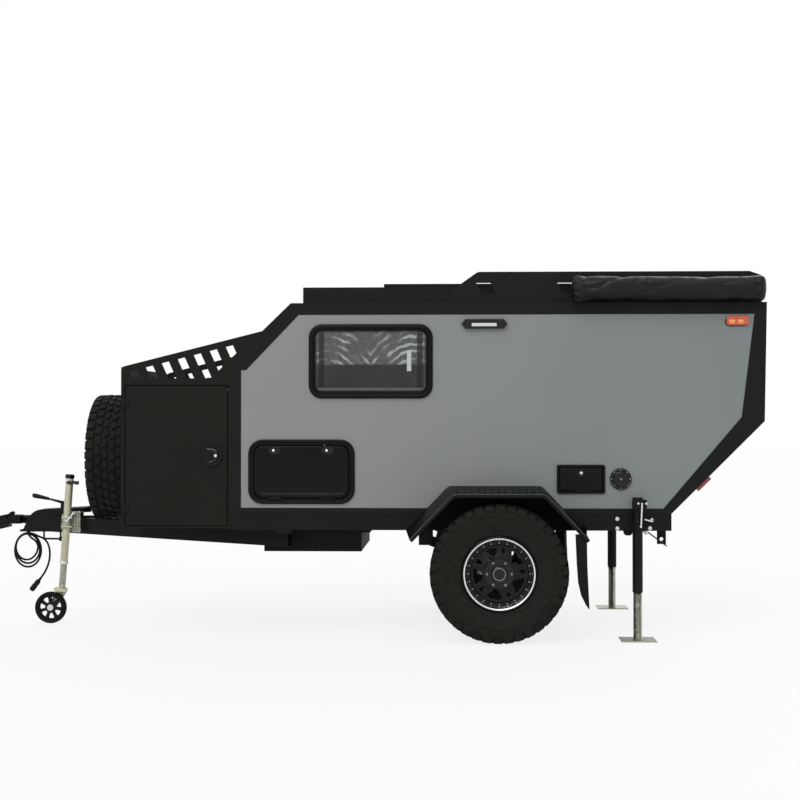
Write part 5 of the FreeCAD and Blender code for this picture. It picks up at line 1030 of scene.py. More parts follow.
def setWheel(pieces, side, body, centre, turn):
    place = Matrix.Translation(centre) @ Matrix.Rotation(math.radians(turn), 4, "Z")
    for name, data, look, node, edge, smooth in pieces:
        spare = side == "spare"
        if spare and name in ("hub", "hubCrown", "wheelNuts"):
            continue
        copy = data.copy()
        copy.transform(place)
        settle(copy, name + side.capitalize(), body, look, edge=edge, smooth=smooth,
               replaces=node.format(side) if node else ())


wheelList = wheelPieces()
low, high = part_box("tyre_left")
axle = ((low + high) / 2)
setWheel(wheelList, "left", "wheel_left", (axle.x, axle.y, axle.z), 0.0)
setWheel(wheelList, "right", "wheel_right", (axle.x, -axle.y, axle.z), 180.0)
low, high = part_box("tyre_spare")
setWheel(wheelList, "spare", "trailer", tuple((low + high) / 2), -90.0)
print("wheels set")

axleX = 0.849  # lengths taken from the axle move by this much


def loops(box, corner, section, steps=10):
    x0, x1, z0, z1 = box
    out = []
    for step, y in section:
        flat = rounded(x0 + step, x1 - step, z0 + step, z1 - step, max(0.002, corner - step),
                       steps)
        out.append([(x, y, z) for x, z in flat])
    return out


# Side window: soft moulding, inner step, bowed pane and stays
windowSetup = {
    "box": (-0.275, 0.46, 1.417, 1.856), "corner": 0.078, "paneStep": 0.0388,
    "moulding": mm([(-1.5, -736.2), (-1.5, -744), (1, -750), (6, -755), (14, -757.5), (21.5, -756),
                    (25.5, -752), (27, -750), (29.5, -750), (31.2, -752.5), (34.5, -753.5),
                    (37.8, -751.5), (39.6, -747), (39.6, -743.7), (35, -736.2)]),
    "bow": 0.009, "thick": 0.003, "stays": [(-0.121, 1.458, 1.6), (0.15, 1.458, 1.56)],
}


def windowPieces():
    setup = windowSetup
    rim = Mould()
    rim.skin(loops(setup["box"], setup["corner"], setup["moulding"]), onward=True)
    rim.done("windowMoulding", "trailer", "frame", smooth=50.0)
    x0, x1, z0, z1 = (setup["box"][0] + setup["paneStep"], setup["box"][1] - setup["paneStep"],
                      setup["box"][2] + setup["paneStep"], setup["box"][3] - setup["paneStep"])
    corner = setup["corner"] - setup["paneStep"]
    middle = Vector(((x0 + x1) / 2, 0, (z0 + z1) / 2))
    outline = rounded(x0, x1, z0, z1, corner, 8)

    def sheet(face, bow):
        rings = []
        for share in (1.0, 0.985, 0.96, 0.92, 0.85, 0.74, 0.6, 0.44, 0.26, 0.08):
            lift = bow * (1.0 - share ** 2.6)
            rings.append([(middle.x + (x - middle.x) * share, face - lift,
                           middle.z + (z - middle.z) * share) for x, z in outline])
        return rings

    pane = Mould()
    front, back = sheet(-0.743, setup["bow"]), sheet(-0.743 + setup["thick"], setup["bow"])
    pane.skin(back[::-1] + front)
    pane.done("windowPane", "trailer", "acrylic", smooth=30.0, replaces="window_pane_left")
    step = Mould()
    inner = mm([(39.2, -738.5), (39.2, -737.5), (50, -736.5), (52, -733), (52, -710),
                (38.5, -710)])
    step.skin(loops(setup["box"], setup["corner"], inner), onward=True)
    step.done("windowInnerStep", "trailer", "ledge", smooth=40.0)
    ledge = Mould()
    ledge.prism(rounded(x0 + 0.016, x1 - 0.016, z0 + 0.008, z0 + 0.024, 0.006, 4), -0.742,
                -0.7515, "Y", edge=0.0012)
    line = rounded(x0 + 0.007, x1 - 0.007, z0 + 0.007, z1 - 0.007, corner - 0.004, 8)
    ledge.tube([(x, -0.7455, z) for x, z in line], 0.002, 6, closed=True)
    ledge.done("windowLedge", "trailer", "ledge", smooth=40.0)
    stays = Mould()
    for x, low, high in setup["stays"]:
        stays.rod((x + 0.01, -0.7245, low), (x, -0.7245, high), 0.0055, 12, edge=0.001)
        stays.rod((x + 0.004, -0.7245, (low + high) / 2), (x - 0.002, -0.7245, high + 0.012),
                  0.008, 14, edge=0.001)
        stays.block((x - 0.01, -0.733, low - 0.004), (x + 0.028, -0.718, low + 0.02), 0.002)
    stays.done("windowStays", "trailer", "plastic", smooth=40.0)


# Luggage flap, service flap and their frames
flapSetup = {
    "luggage": {"box": (-0.636, -0.003, 0.79, 1.171), "corner": 0.085,
                "latches": [(-0.478, 1.107), (-0.161, 1.107)], "leaf": 0.0352},
    "service": {"box": (1.194, 1.479, 0.853, 1.024), "leaf": 0.0192, "lock": (1.3365, 0.976)},
}


def flapPieces():
    setup = flapSetup["luggage"]
    box, corner = setup["box"], setup["corner"]
    rim = Mould()
    rim.skin(loops(box, corner, mm([(-1.2, -736.2), (-1.2, -743), (1, -748.5), (5.5, -752),
                                    (11, -752.5), (15.5, -750.5), (18, -748.2), (18, -736.2)])),
             onward=True)
    rim.done("luggageRim", "trailer", "frame", smooth=50.0)
    skin = Mould()
    x0, x1, z0, z1 = box
    step = setup["leaf"]
    leaf = (x0 + step, x1 - step, z0 + step, z1 - step)
    skin.skin(loops(leaf, corner - 0.0302, mm([(0, -744), (0, -750), (2.2, -753), (7, -754.8),
                                               (17, -754.8), (23.5, -753), (27.5, -750.5),
                                               (33, -749.6), (60, -749.2), (110, -749)])))
    skin.done("luggageSkin", "luggage_flap", "frame", smooth=50.0)
    latch, lock = Mould(), Mould()
    for x, z in setup["latches"]:
        oval = [(0.04, 0.0235, -0.749), (0.0392, 0.0227, -0.756), (0.037, 0.0205, -0.758),
                (0.0335, 0.018, -0.7575), (0.031, 0.016, -0.7572)]
        latch.skin([[(x + a * math.cos(t), y, z + b * math.sin(t)) for t in angles(40)]
                    for a, b, y in oval])
        latch.prism([(x + 0.006 + 0.022 * math.cos(t), z + 0.011 * math.sin(t))
                     for t in angles(28)], -0.757, -0.764, "Y", edge=0.0016)
        latch.lathe(mm([(0, -765.5), (9.8, -765.5), (11.2, -764), (11.2, -756)]),
                    (x - 0.006, 0, z), "Y", 28)
        lock.lathe(mm([(0, -767.2), (6, -767.2), (7.4, -766.4), (7.8, -764)]),
                   (x - 0.006, 0, z), "Y", 24)
    latch.done("luggageLatches", "luggage_flap", "gloss", smooth=40.0)
    lock.done("luggageLocks", "luggage_flap", "bright", smooth=30.0)
    grooves = Mould()
    for start, end in ((-0.575, -0.395), (-0.245, -0.065)):
        grooves.tube([(start + 0.01, -0.7496, 0.8445), (start + 0.02, -0.7506, 0.8432),
                      (end - 0.02, -0.7506, 0.8432), (end - 0.01, -0.7496, 0.8445)], 0.0022, 8)
    grooves.done("luggageBeads", "luggage_flap", "trim", smooth=60.0)
    setup = flapSetup["service"]
    x0, x1, z0, z1 = setup["box"]
    skin = Mould()
    step = setup["leaf"]
    leaf = (x0 + step, x1 - step, z0 + step, z1 - step)
    skin.skin(loops(leaf, 0.007,
                    mm([(0, -744), (0, -749), (1.2, -750.2), (4, -750.8), (30, -751)]), 4))
    skin.done("serviceSkin", "service_flap", "frame", smooth=40.0)
    x, z = setup["lock"]
    lock = Mould()
    lock.lathe(mm([(0, -760.5), (6.5, -760.5), (8.5, -759), (9.5, -756)]),
               (x, 0, z), "Y", 24)
    lock.done("serviceLock", "service_flap", "bright", smooth=30.0)
    collar = Mould()
    collar.lathe(mm([(9, -759.2), (12, -759), (21.2, -758), (22.2, -756), (22.2, -750)]),
                 (x, 0, z), "Y", 36)
    collar.done("serviceCollar", "service_flap", "gloss", smooth=30.0)


# Paddle latches on the two storage box doors
boxLatch = {"x": -0.8551, "z": 1.076, "face": 0.749}


def boxLatches():
    setup = boxLatch
    for word, side in (("left", -1.0), ("right", 1.0)):
        body = "locker_door_" + word
        dish, paddle, lock, edge = Mould(), Mould(), Mould(), Mould()
        for mould in (dish, paddle, lock, edge):
            mould.at = Matrix.Translation((setup["x"], 0, setup["z"])) @ Matrix.Diagonal(
                (1.0, -side, 1.0, 1.0))
        face = setup["face"]
        dish.lathe([(0.0, -face + 0.0008), (0.044, -face - 0.0002), (0.048, -face - 0.003),
                    (0.051, -face - 0.0042), (0.06, -face - 0.0036), (0.063, -face - 0.001),
                    (0.0632, -face + 0.004)], (0, 0, 0), "Y", 56)
        grip = mm([(-20, -40), (18, -36), (34, -24), (40, 0), (34, 26), (18, 40), (-30, 44),
                   (-28, 30), (-6, 26), (10, 12), (14, -4), (8, -20), (-10, -28)])
        paddle.prism(grip, -face + 0.001, -face - 0.0085, "Y", edge=0.0022)
        # Steel tubes along the paddle's top and bottom edges: painted highlights
        edge.tube([(-0.028, -face - 0.009, 0.0405), (0.0, -face - 0.009, 0.04),
                   (0.018, -face - 0.009, 0.036), (0.03, -face - 0.0088, 0.026)], 0.0016, 8)
        edge.tube([(-0.016, -face - 0.0088, -0.037), (0.006, -face - 0.0088, -0.035)], 0.0014, 8)
        lock.lathe([(0.0, -face - 0.0105), (0.0034, -face - 0.01), (0.0044, -face - 0.009),
                    (0.0062, -face - 0.0112), (0.0086, -face - 0.0112), (0.01, -face - 0.009),
                    (0.01, -face)], (0.024, 0, 0.0), "Y", 28)
        dish.done("boxLatchDish" + word.capitalize(), body, "plastic", smooth=30.0)
        paddle.done("boxLatchPaddle" + word.capitalize(), body, "gloss", smooth=30.0)
        edge.done("boxLatchEdge" + word.capitalize(), body, "dull", smooth=60.0)
        lock.done("boxLatchLock" + word.capitalize(), body, "bright", smooth=30.0)


# Lights, marker lamps and the water filler
lightList = {"porch": (0.692, 0.84, 1.842, 1.862, -0.762), "ribs": 22,
             "marker": (2.185, 2.312, 1.841, 1.895), "filler": (1.57, 0.94), "screws": 8}


def lightPieces():
    setup = lightList
    x0, x1, z0, z1, y = setup["porch"]
    strip = Mould()
    strip.prism(rounded(x0, x1, z0, z1, 0.006, 4), y + 0.002, y - 0.0012, "Y", edge=0.001)
    strip.done("porchStrip", "trailer", "bright", smooth=40.0)
    rib = Mould()
    rib.rod((0, 0, -0.008), (0, 0, 0.008), 0.0026, 8, edge=0.0008)
    pitch = (x1 - x0 - 0.012) / (setup["ribs"] - 1)
    ribs = repeated(rowsOf, rib, "clear", setup["ribs"], (x0 + 0.006, y - 0.0012, (z0 + z1) / 2),
                    step=(pitch, 0, 0))
    settle(ribs, "porchLens", "trailer", "clear", smooth=40.0)
    for word, side in (("Left", 1.0), ("Right", -1.0)):
        at = Matrix.Diagonal((1.0, side, 1.0, 1.0))
        x0, x1, z0, z1 = setup["marker"]
        base, lens, bulbs = Mould(at), Mould(at), Mould(at)
        base.prism(rounded(x0, x1, z0, z1, 0.024, 8), -0.7355, -0.743, "Y", shrink=0.0015)
        lens.skin(loops((x0 + 0.005, x1 - 0.005, z0 + 0.005, z1 - 0.004), 0.02, mm([(0, -742),
                                                                                     (0, -749),
                                                                                     (3, -753.5),
                                                                                     (8.5, -756),
                                                                                     (15,
                                                                                      -756.8)]),
                        8))
        for share in (0.3, 0.7):
            x = x0 + (x1 - x0) * share
            bulbs.prism([(x + 0.02 * math.cos(t), (z0 + z1) / 2 + 0.0125 * math.sin(t))
                         for t in angles(24)], -0.755, -0.7592, "Y", edge=0.002)
        base.done("markerBase" + word, "trailer", "gloss", smooth=40.0)
        lens.done("markerLens" + word, "trailer", "amber", smooth=50.0)
        bulbs.done("markerChambers" + word, "trailer", "amberPale", smooth=50.0)
    x, z = setup["filler"]
    screw = Mould()
    screw.lathe(mm([(0, -750), (2, -750.2), (4.2, -749), (4.6, -747.6)]),
                (0.054, 0, 0), "Y", 12)
    turn = 2 * math.pi / setup["screws"]
    screws = repeated(ringOf, screw, "dull", setup["screws"], (x, 0, z), turn=(0, turn, 0))
    settle(screws, "fillerScrews", "trailer", "dull", smooth=30.0)
    cap = Mould()
    cap.lathe(mm([(0, -764), (8.5, -764), (10, -762.5), (10.5, -757.5), (34, -757.2), (40, -759),
                  (44, -757.5), (44.6, -747), (47, -748.6), (61.2, -748.4), (63.6, -747),
                  (64, -736)]),
              (x, 0, z), "Y", 56)
    cap.done("fillerCap", "trailer", "gloss", smooth=35.0)
    lock = Mould()
    lock.lathe(mm([(0, -765.5), (5, -765.5), (6.8, -764.2), (7, -760)]),
               (x, 0, z), "Y", 20)
    for k in range(2):
        lock.rod((x - 0.052 + 0.104 * k, -0.7488, z - 0.02), (x - 0.046 + 0.092 * k, -0.7488,
                 z - 0.028), 0.0016, 8)
    lock.done("fillerLock", "trailer", "dull", smooth=30.0)


windowPieces()
flapPieces()
boxLatches()
lightPieces()
print("window, flaps, latches and lights fitted")


# Fenders: one folded sheet each, sloping out and down from the wall, with tread bars on top
fenderSetup = {
    "outer": mm([(-517, 600), (-265, 862), (265, 862), (517, 600)]),
    "lift": 0.036, "leanFront": -0.03, "leanRear": -0.008, "wall": 0.7372, "edge": 1.0395,
    "sheet": 0.005, "lip": 0.02, "bendSteps": 4, "bend": 0.02,
    "bars": (13, 7), "barPitch": (0.04, 0.038),
}


def softPath(points, bend, steps):
    out = [Vector(points[0])]
    for a, b, c in zip(points, points[1:], points[2:]):
        a, b, c = Vector(a), Vector(b), Vector(c)
        start, end = b + (a - b).normalized() * bend, b + (c - b).normalized() * bend
        out += [(start * (1 - t) * (1 - t) + b * 2 * t * (1 - t) + end * t * t)
                for t in (i / steps for i in range(steps + 1))]
    return out + [Vector(points[-1])]


def fenderPieces():
    setup = fenderSetup
    outer = softPath(setup["outer"], setup["bend"], setup["bendSteps"])
    shifted = [(x + (setup["leanFront"] if x < 0 else setup["leanRear"]), z + setup["lift"])
               for x, z in setup["outer"]]
    inner = softPath(shifted, setup["bend"], setup["bendSteps"])
    normals = []
    for i in range(len(outer)):
        along = (outer[min(i + 1, len(outer) - 1)] - outer[max(i - 1, 0)]).normalized()
        normals.append(Vector((along.y, -along.x)))  # towards the wheel
    sheet, lip, wall, edge = setup["sheet"], setup["lip"], setup["wall"], setup["edge"]
    rings = []
    for o, w, n in zip(outer, inner, normals):
        def spot(base, deep, y):
            return (base.x + n.x * deep, -y, base.y + n.y * deep)
        rings.append([spot(w, 0.0, wall), spot(o, 0.0, edge - 0.004),
                      spot(o, 0.0012, edge - 0.001),
                      spot(o, 0.004, edge), spot(o, lip - 0.001, edge), spot(o, lip, edge - 0.001),
                      spot(o, lip, edge - 0.004), spot(o, sheet + 0.003, edge - sheet),
                      spot(o, sheet, edge - 0.009), spot(w, sheet, wall)])
    sheets = Mould()
    for side in (-1.0, 1.0):
        sheets.at = Matrix.Translation((axleX, 0, 0)) @ Matrix.Diagonal((1.0, side, 1.0, 1.0))
        sheets.skin(rings)
    sheets.done("fenderSheets", "trailer", "fender", smooth=32.0, replaces="fenders")
    # A light grey tube along each fender's fold edge: a painted highlight
    line = Mould()
    for side in (-1.0, 1.0):
        line.tube([(axleX + o.x, side * (edge - 0.0022), o.y - 0.0002) for o in outer], 0.002, 6)
    line.done("fenderEdges", "trailer", "ledge", smooth=60.0)
    liner = Mould()
    arch = [(axleX + x, z - 0.004) for x, z in shifted]
    arch += [(arch[-1][0] - 0.02, 0.64), (arch[0][0] + 0.02, 0.64)]
    for side in (-1.0, 1.0):
        liner.prism(arch, side * 0.7365, side * 0.7425, "Y")
    liner.done("fenderLiners", "trailer", "rubber", smooth=30.0)
    bar = Mould(Matrix.Rotation(math.radians(45), 4, "Z"))
    bar.skin([[(0.0135 * math.cos(t) * s, 0.0026 * math.sin(t) * s, h) for t in angles(12)]
              for s, h in ((1.0, -0.0006), (0.9, 0.0008), (0.6, 0.0014))])
    (columns, rows), (pitchX, pitchY) = setup["bars"], setup["barPitch"]
    start = (axleX - pitchX * (columns - 1) / 2, -edge + 0.03, 0.0)
    pattern = repeated(rowsOf, bar, "fender", columns, start, step=(pitchX, 0, 0), rows=rows,
                       rowStep=(0, pitchY, 0), turn=(0, 0, math.pi / 2))
    slope = setup["lift"] / (edge - wall)
    for vert in pattern.vertices:
        vert.co.z += 0.8622 + (vert.co.y + edge) * slope
    mirrored = pattern.copy()
    mirrored.transform(Matrix.Diagonal((1.0, -1.0, 1.0, 1.0)))
    mirrored.flip_normals()
    settle(joinMeshes([pattern, mirrored]), "fenderTreadBars", "trailer", "fender", smooth=40.0)


fenderPieces()
print("fenders folded")


# Mud flaps: a hanging sheet with a cheek turned forward along its outer edge
flapShape = {"cheek": mm([(1283, 635), (1348, 635), (1350, 450), (1362, 206), (1340, 235),
                          (1315, 285), (1298, 360), (1290, 470)]),
             "back": mm([(1344, 678), (1344, 600), (1346.5, 450), (1358, 207)]),
             "out": 1.029, "into": 0.77, "thick": 0.005}


def mudFlaps():
    setup = flapShape
    flaps = Mould()
    for side in (-1.0, 1.0):
        out, into, thick = side * setup["out"], side * setup["into"], setup["thick"]
        flaps.prism(setup["cheek"], out, out - side * thick, "Y", edge=0.0012)
        flaps.skin([[(x, out, z), (x + thick, out, z), (x + thick, into, z), (x, into, z)]
                    for x, z in setup["back"]])
    flaps.done("mudFlaps", "trailer", "rubber", smooth=40.0, replaces="mud_flaps")


mudFlaps()


# Drawbar top: a deck plate behind the nose, a curved hood, the rod under it, the lead's gland
deckSetup = {"front": -2.04, "rear": -1.775, "top": 0.716, "topRear": 0.729, "sheet": 0.005,
             "halfFront": 0.05, "halfRear": 0.106}


def deckPieces():
    setup = deckSetup
    x0, x1, t0, t1 = setup["front"], setup["rear"], setup["top"], setup["topRear"]
    h0, h1, sheet = setup["halfFront"], setup["halfRear"], setup["sheet"]
    deck = Mould()
    deck.skin([[(x, -h, t - 0.04), (x, -h, t - 0.002), (x, -h + 0.002, t), (x, h - 0.002, t),
                (x, h, t - 0.002), (x, h, t - 0.04), (x, h - sheet, t - 0.04),
                (x, h - sheet, t - sheet), (x, -h + sheet, t - sheet),
                (x, -h + sheet, t - 0.04)] for x, h, t in
               ((x0, h0, t0), ((x0 + x1) / 2, (h0 + h1) / 2, (t0 + t1) / 2), (x1, h1, t1))])
    deck.done("drawbarDeck", "trailer", "chassis", smooth=40.0)
    hood = Mould()
    curve = mm([(-2198.5, 572.5), (-2198.5, 584), (-2176, 590), (-2160, 625), (-2145, 656),
                (-2124, 686), (-2106, 700), (-2090, 708.5), (-2060, 714), (-2040, 715.5),
                (-2010, 714), (-2010, 572.5)])
    hood.prism(curve, -0.0628, 0.0628, "Y", edge=0.003)
    hood.done("drawbarHood", "trailer", "chassis", smooth=35.0)
    rod = Mould()
    rod.rod((-2.052, -0.02, 0.524), (-1.934, -0.062, 0.5265), 0.0062, 14, edge=0.001)
    rod.rod((-1.94, -0.06, 0.5262), (-1.928, -0.064, 0.5265), 0.015, 18, edge=0.002)
    rod.rod((-2.052, -0.02, 0.524), (-2.052, -0.02, 0.573), 0.006, 12, edge=0.001)
    rod.rod((-1.934, -0.062, 0.5265), (-1.934, -0.062, 0.58), 0.006, 12, edge=0.001)
    rod.done("chainRod", "trailer", "chassis", smooth=40.0)
    gland = Mould()
    gland.rod((-2.146, -0.047, 0.5745), (-2.146, -0.047, 0.564), 0.0125, 18, 0.0112, edge=0.0015)
    gland.rod((-2.146, -0.047, 0.565), (-2.1425, -0.047, 0.546), 0.0102, 16, 0.0078)
    gland.done("leadGland", "trailer", "plastic", smooth=40.0)


deckPieces()
print("drawbar finished")


# Jack and jockey wheel, shaped in the jack's own leaning frame
jackSetup = {"lean": 3.9, "wheel": (-1.969, -0.165, 0.1), "trail": 0.063, "hub": 0.028,
             "forkTop": 0.128, "clampAt": (-1.872, -0.1021), "clampTurn": -19.63}


def jackPieces():
    setup = jackSetup
    lean, trail = math.radians(setup["lean"]), setup["trail"]
    x, y, z = setup["wheel"]
    at = Matrix.Translation((x + trail * math.cos(lean), y, z - trail * math.sin(lean)))
    at = at @ Matrix.Rotation(lean, 4, "Y")
    tube = Mould(at)
    tube.lathe(mm([(21.2, 281), (23.4, 281), (24, 282.5), (24, 824), (21.2, 824)]), (0, 0, 0),
               "Z", 48, closed=True)
    tube.done("jackTube", "trailer", "cream", smooth=40.0, replaces="jack_tube")
    collar = Mould(at)
    collar.lathe(mm([(23.8, 281.2), (27, 281.2), (27.8, 283), (27.8, 298.5), (26.2, 300.5),
                     (23.8, 300.5)]), (0, 0, 0), "Z", 40, closed=True)
    collar.lathe(mm([(23.8, 796), (26.2, 796), (27.2, 798.5), (27.2, 818), (23.8, 820)]),
                 (0, 0, 0), "Z", 40, closed=True)
    collar.done("jackCollars", "trailer", "clear", smooth=40.0)
    cap = Mould(at)
    cap.lathe(mm([(0, 824), (26.8, 824), (28, 826), (28, 843), (26.2, 848), (20, 850), (0, 850)]),
              (0, 0, 0), "Z", 40)
    rib = Mould(at)
    for a in angles(24):
        rib.rod((0.0278 * math.cos(a), 0.0278 * math.sin(a), 0.8275),
                (0.0278 * math.cos(a), 0.0278 * math.sin(a), 0.842), 0.0012, 6)
    rib.done("jackCapRibs", "trailer", "gloss", smooth=40.0)
    cap.rod((-0.014, -0.0245, 0.796), (0.025, -0.0245, 0.8), 0.0075, 14, edge=0.0015)
    cap.rod((0.006, -0.02, 0.7985), (0.006, -0.03, 0.7985), 0.013, 20, edge=0.0015)
    cap.skin([[(d, r * math.cos(a) - 0.0245, r * math.sin(a) + 0.8) for a in angles(20)]
              for d, r in ((0.024, 0.006), (0.026, 0.008), (0.036, 0.0098), (0.05, 0.012),
                           (0.06, 0.0125), (0.0645, 0.0105), (0.066, 0.006))])
    cap.done("jackCapCrank", "trailer", "gloss", smooth=40.0)

    hub, top = setup["hub"], setup["forkTop"]
    fork = Mould(at)
    arm = [(-trail - 0.018, -0.016), (-trail + 0.002, -0.023), (-trail + 0.022, -0.01),
           (hub, top - 0.02), (hub, top), (-hub * 1.6, top), (-hub * 1.6, top - 0.03),
           (-trail - 0.022, 0.014)]
    fork.prism(arm, 0.03, 0.036, "Y", edge=0.0012)
    fork.prism([(-hub * 1.6, 0.106), (hub, 0.106), (hub, top), (-hub * 1.6, top)], -0.035,
               0.035, "Y", edge=0.002)
    fork.rod((0, 0, top - 0.004), (0, 0, top + 0.001), 0.0265, 36, edge=0.001)
    fork.rod((-trail, 0.042, 0), (-trail, -0.026, 0), 0.0062, 16, edge=0.001)
    fork.done("jockeyFork", "jockey_swivel", "cream", smooth=40.0, replaces="jockey_fork")
    wheelAt = Matrix.Translation(setup["wheel"])
    tread, disc, boss = Mould(wheelAt), Mould(wheelAt), Mould(wheelAt)
    tread.lathe(mm([(74, -18), (76, -21.5), (82, -23.6), (90, -25), (95.5, -21.5), (98.5, -15),
                    (100, -6), (100, 6), (98.5, 15), (95.5, 21.5), (90, 25), (82, 23.6),
                    (76, 21.5), (74, 18)]), (0, 0, 0), "Y", 72, closed=True)
    tread.done("jockeyTyre", "jockey_roller", "rubber", smooth=40.0, replaces="jockey_wheel")
    holes = [polar([(0.036, mid - 11.0), (0.064, mid - 16.0), (0.0675, mid - 12.0),
                    (0.0685, mid), (0.0675, mid + 12.0), (0.064, mid + 16.0),
                    (0.036, mid + 11.0), (0.0345, mid)])
             for mid in (18.0 + 360.0 / 7 * k for k in range(7))]
    disc.fill(circle(0, 0, 0.0755, 64), [hole[::-1] for hole in holes], -0.011, 0.0075)
    disc.done("jockeyDisc", "jockey_roller", "plastic", edge=0.0012, smooth=40.0)
    boss.lathe(mm([(7, -25), (15, -25), (18.5, -23.5), (20, -19), (20.5, 24), (7, 25)]),
               (0, 0, 0), "Y", 36, closed=True)
    boss.lathe(mm([(0, -26.2), (8, -26.2), (8.5, -24.5), (0, -24)]),
               (0, 0, 0), "Y", 20)
    boss.done("jockeyBoss", "jockey_roller", "clear", smooth=40.0)

    turn = Matrix.Rotation(math.radians(setup["clampTurn"]), 4, "Z")
    clampAt = Matrix.Translation((*setup["clampAt"], 0.0)) @ turn
    clamp = Mould(clampAt)
    clamp.block((0.018, -0.032, 0.58), (0.112, 0.0, 0.705), 0.004)
    clamp.block((0.052, -0.04, 0.58), (0.112, -0.02, 0.705), 0.004)
    for k in range(3):
        middle = 0.062 + 0.0205 * k
        path = [(px, -0.041, pz) for px, pz in rounded(middle - 0.0078, middle + 0.0078, 0.579,
                                                        0.706, 0.0075, 4)]
        clamp.tube(path, 0.0042, 8, closed=True)
    for level in (0.602, 0.623, 0.644, 0.665, 0.686):
        clamp.rod((0.053, -0.04, level), (0.11, -0.04, level), 0.0036, 8)
    clamp.at = at
    clamp.lathe(mm([(24.4, 503), (33, 503), (34.5, 506), (34.5, 590), (33, 593), (24.4, 593)]),
                (0, 0, 0), "Z", 48, closed=True)
    for level in (0.52, 0.576):
        clamp.rod((-0.026, -0.033, level), (0.042, -0.033, level), 0.0055, 12, edge=0.001)
    clamp.done("jackClamp", "trailer", "zinc", smooth=40.0, replaces="jack_clamp")
    lever = Mould(at)
    lever.rod((0.046, -0.034, 0.608), (0.006, -0.042, 0.55), 0.0046, 12, edge=0.001)
    lever.rod((0.036, -0.03, 0.602), (0.06, -0.036, 0.612), 0.0044, 12, edge=0.001)
    lever.lathe(mm([(0, 600), (9, 600), (9, 612), (0, 612)]),
                (0.044, -0.032, 0), "Z", 6)
    lever.done("jackClampLever", "trailer", "bright", smooth=40.0)


jackPieces()
print("jack and jockey wheel shaped")


# Handbrake lever and the coupling head's lever
def leverPieces():
    lever = Mould()
    lever.skin([[(x, r * 0.8 * math.cos(a), z + r * math.sin(a)) for a in angles(22)]
                for x, z, r in ((-2.134, 0.801, 0.006), (-2.132, 0.801, 0.011),
                                (-2.126, 0.8, 0.0142), (-2.11, 0.7975, 0.015),
                                (-2.085, 0.7925, 0.0138), (-2.06, 0.787, 0.0118),
                                (-2.035, 0.7815, 0.01), (-2.025, 0.7795, 0.0092),
                                (-2.024, 0.779, 0.006))])
    lever.skin([[(x, -0.0045, z - h), (x, 0.0045, z - h), (x, 0.0045, z + h), (x, -0.0045, z + h)]
                for x, z, h in ((-2.026, 0.779, 0.006), (-2.0, 0.7725, 0.0068),
                                (-1.96, 0.762, 0.0085), (-1.935, 0.754, 0.011),
                                (-1.922, 0.75, 0.01))])
    for side in (-1.0, 1.0):
        lever.prism(mm([(-1948, 702), (-1922, 702), (-1922, 760), (-1932, 766), (-1944, 756)]),
                    side * 0.006, side * 0.018, "Y", edge=0.001)
    lever.rod((-1.932, -0.0198, 0.752), (-1.932, 0.0198, 0.752), 0.0062, 14, edge=0.001)
    lever.done("handbrakeLever", "trailer", "trim", smooth=40.0, replaces="handbrake_lever")
    head = Mould()
    head.prism(mm([(-2345, 666), (-2320, 670), (-2290, 678), (-2272, 696), (-2256, 699),
                   (-2248, 688), (-2254, 674), (-2276, 660), (-2340, 650)]), -0.016, 0.016, "Y",
               edge=0.0025)
    for side in (-1.0, 1.0):
        head.rod((-2.285, side * 0.05, 0.642), (-2.285, side * 0.0535, 0.642), 0.0105, 6,
                 edge=0.001)
    head.done("couplingLever", "hitch_head", "chassis", smooth=35.0)
    # A pale steel strip low on the coupling head: a painted glint
    mark = Mould()
    mark.prism(mm([(-2412, 608), (-2356, 620), (-2356, 624), (-2412, 612)]),
               -0.0505, -0.052, "Y")
    mark.done("couplingWear", "hitch_head", "dull", smooth=40.0)


leverPieces()
print("levers shaped")


# Coil springs and dampers between the arms and the rails
def springPieces():
    for word, side in (("Left", -1.0), ("Right", 1.0)):
        spring, damper = Mould(), Mould()
        turns, steps = 4.6, 96
        path = []
        for i in range(steps + 1):
            share = i / steps
            angle = math.radians(360.0 * turns * share)
            rise = 0.517 + 0.104 * min(1.0, max(0.0, (share - 0.12) / 0.76))
            path.append((0.719 + 0.0405 * math.cos(angle), side * 0.66 + 0.0405 * math.sin(angle),
                         rise))
        spring.tube(path, 0.0066, 8)
        spring.lathe(mm([(0, 509), (47, 509), (47.5, 511), (30, 515), (0, 516)]),
                     (0.719, side * 0.66, 0), "Z", 32)
        spring.lathe(mm([(0, 624), (46, 624), (47.5, 628), (0, 630)]),
                     (0.719, side * 0.66, 0), "Z", 32)
        damper.lathe(mm([(0, 452), (13, 453), (20, 460), (20, 540), (21.4, 542), (22, 610),
                         (14, 616), (13, 634), (0, 635)]), (0.911, side * 0.644, 0), "Z", 28)
        for level in (0.462, 0.625):
            damper.rod((0.911, side * 0.624, level), (0.911, side * 0.664, level), 0.01, 14,
                       edge=0.001)
        spring.done("spring" + word, "trailer", "chassis", smooth=40.0,
                    replaces="springs_and_dampers" if side < 0 else ())
        damper.done("damper" + word, "trailer", "plastic", smooth=40.0)


springPieces()
print("springs set")


# Leg heads, cranks, pins and bolt heads on the rear rails
legSetup = {"heads": [(1.663, 0.801), (1.709, 0.801)], "fixed": [
    (1.55, 0.705), (1.55, 0.648), (1.741, 0.65), (1.718, 0.624)]}


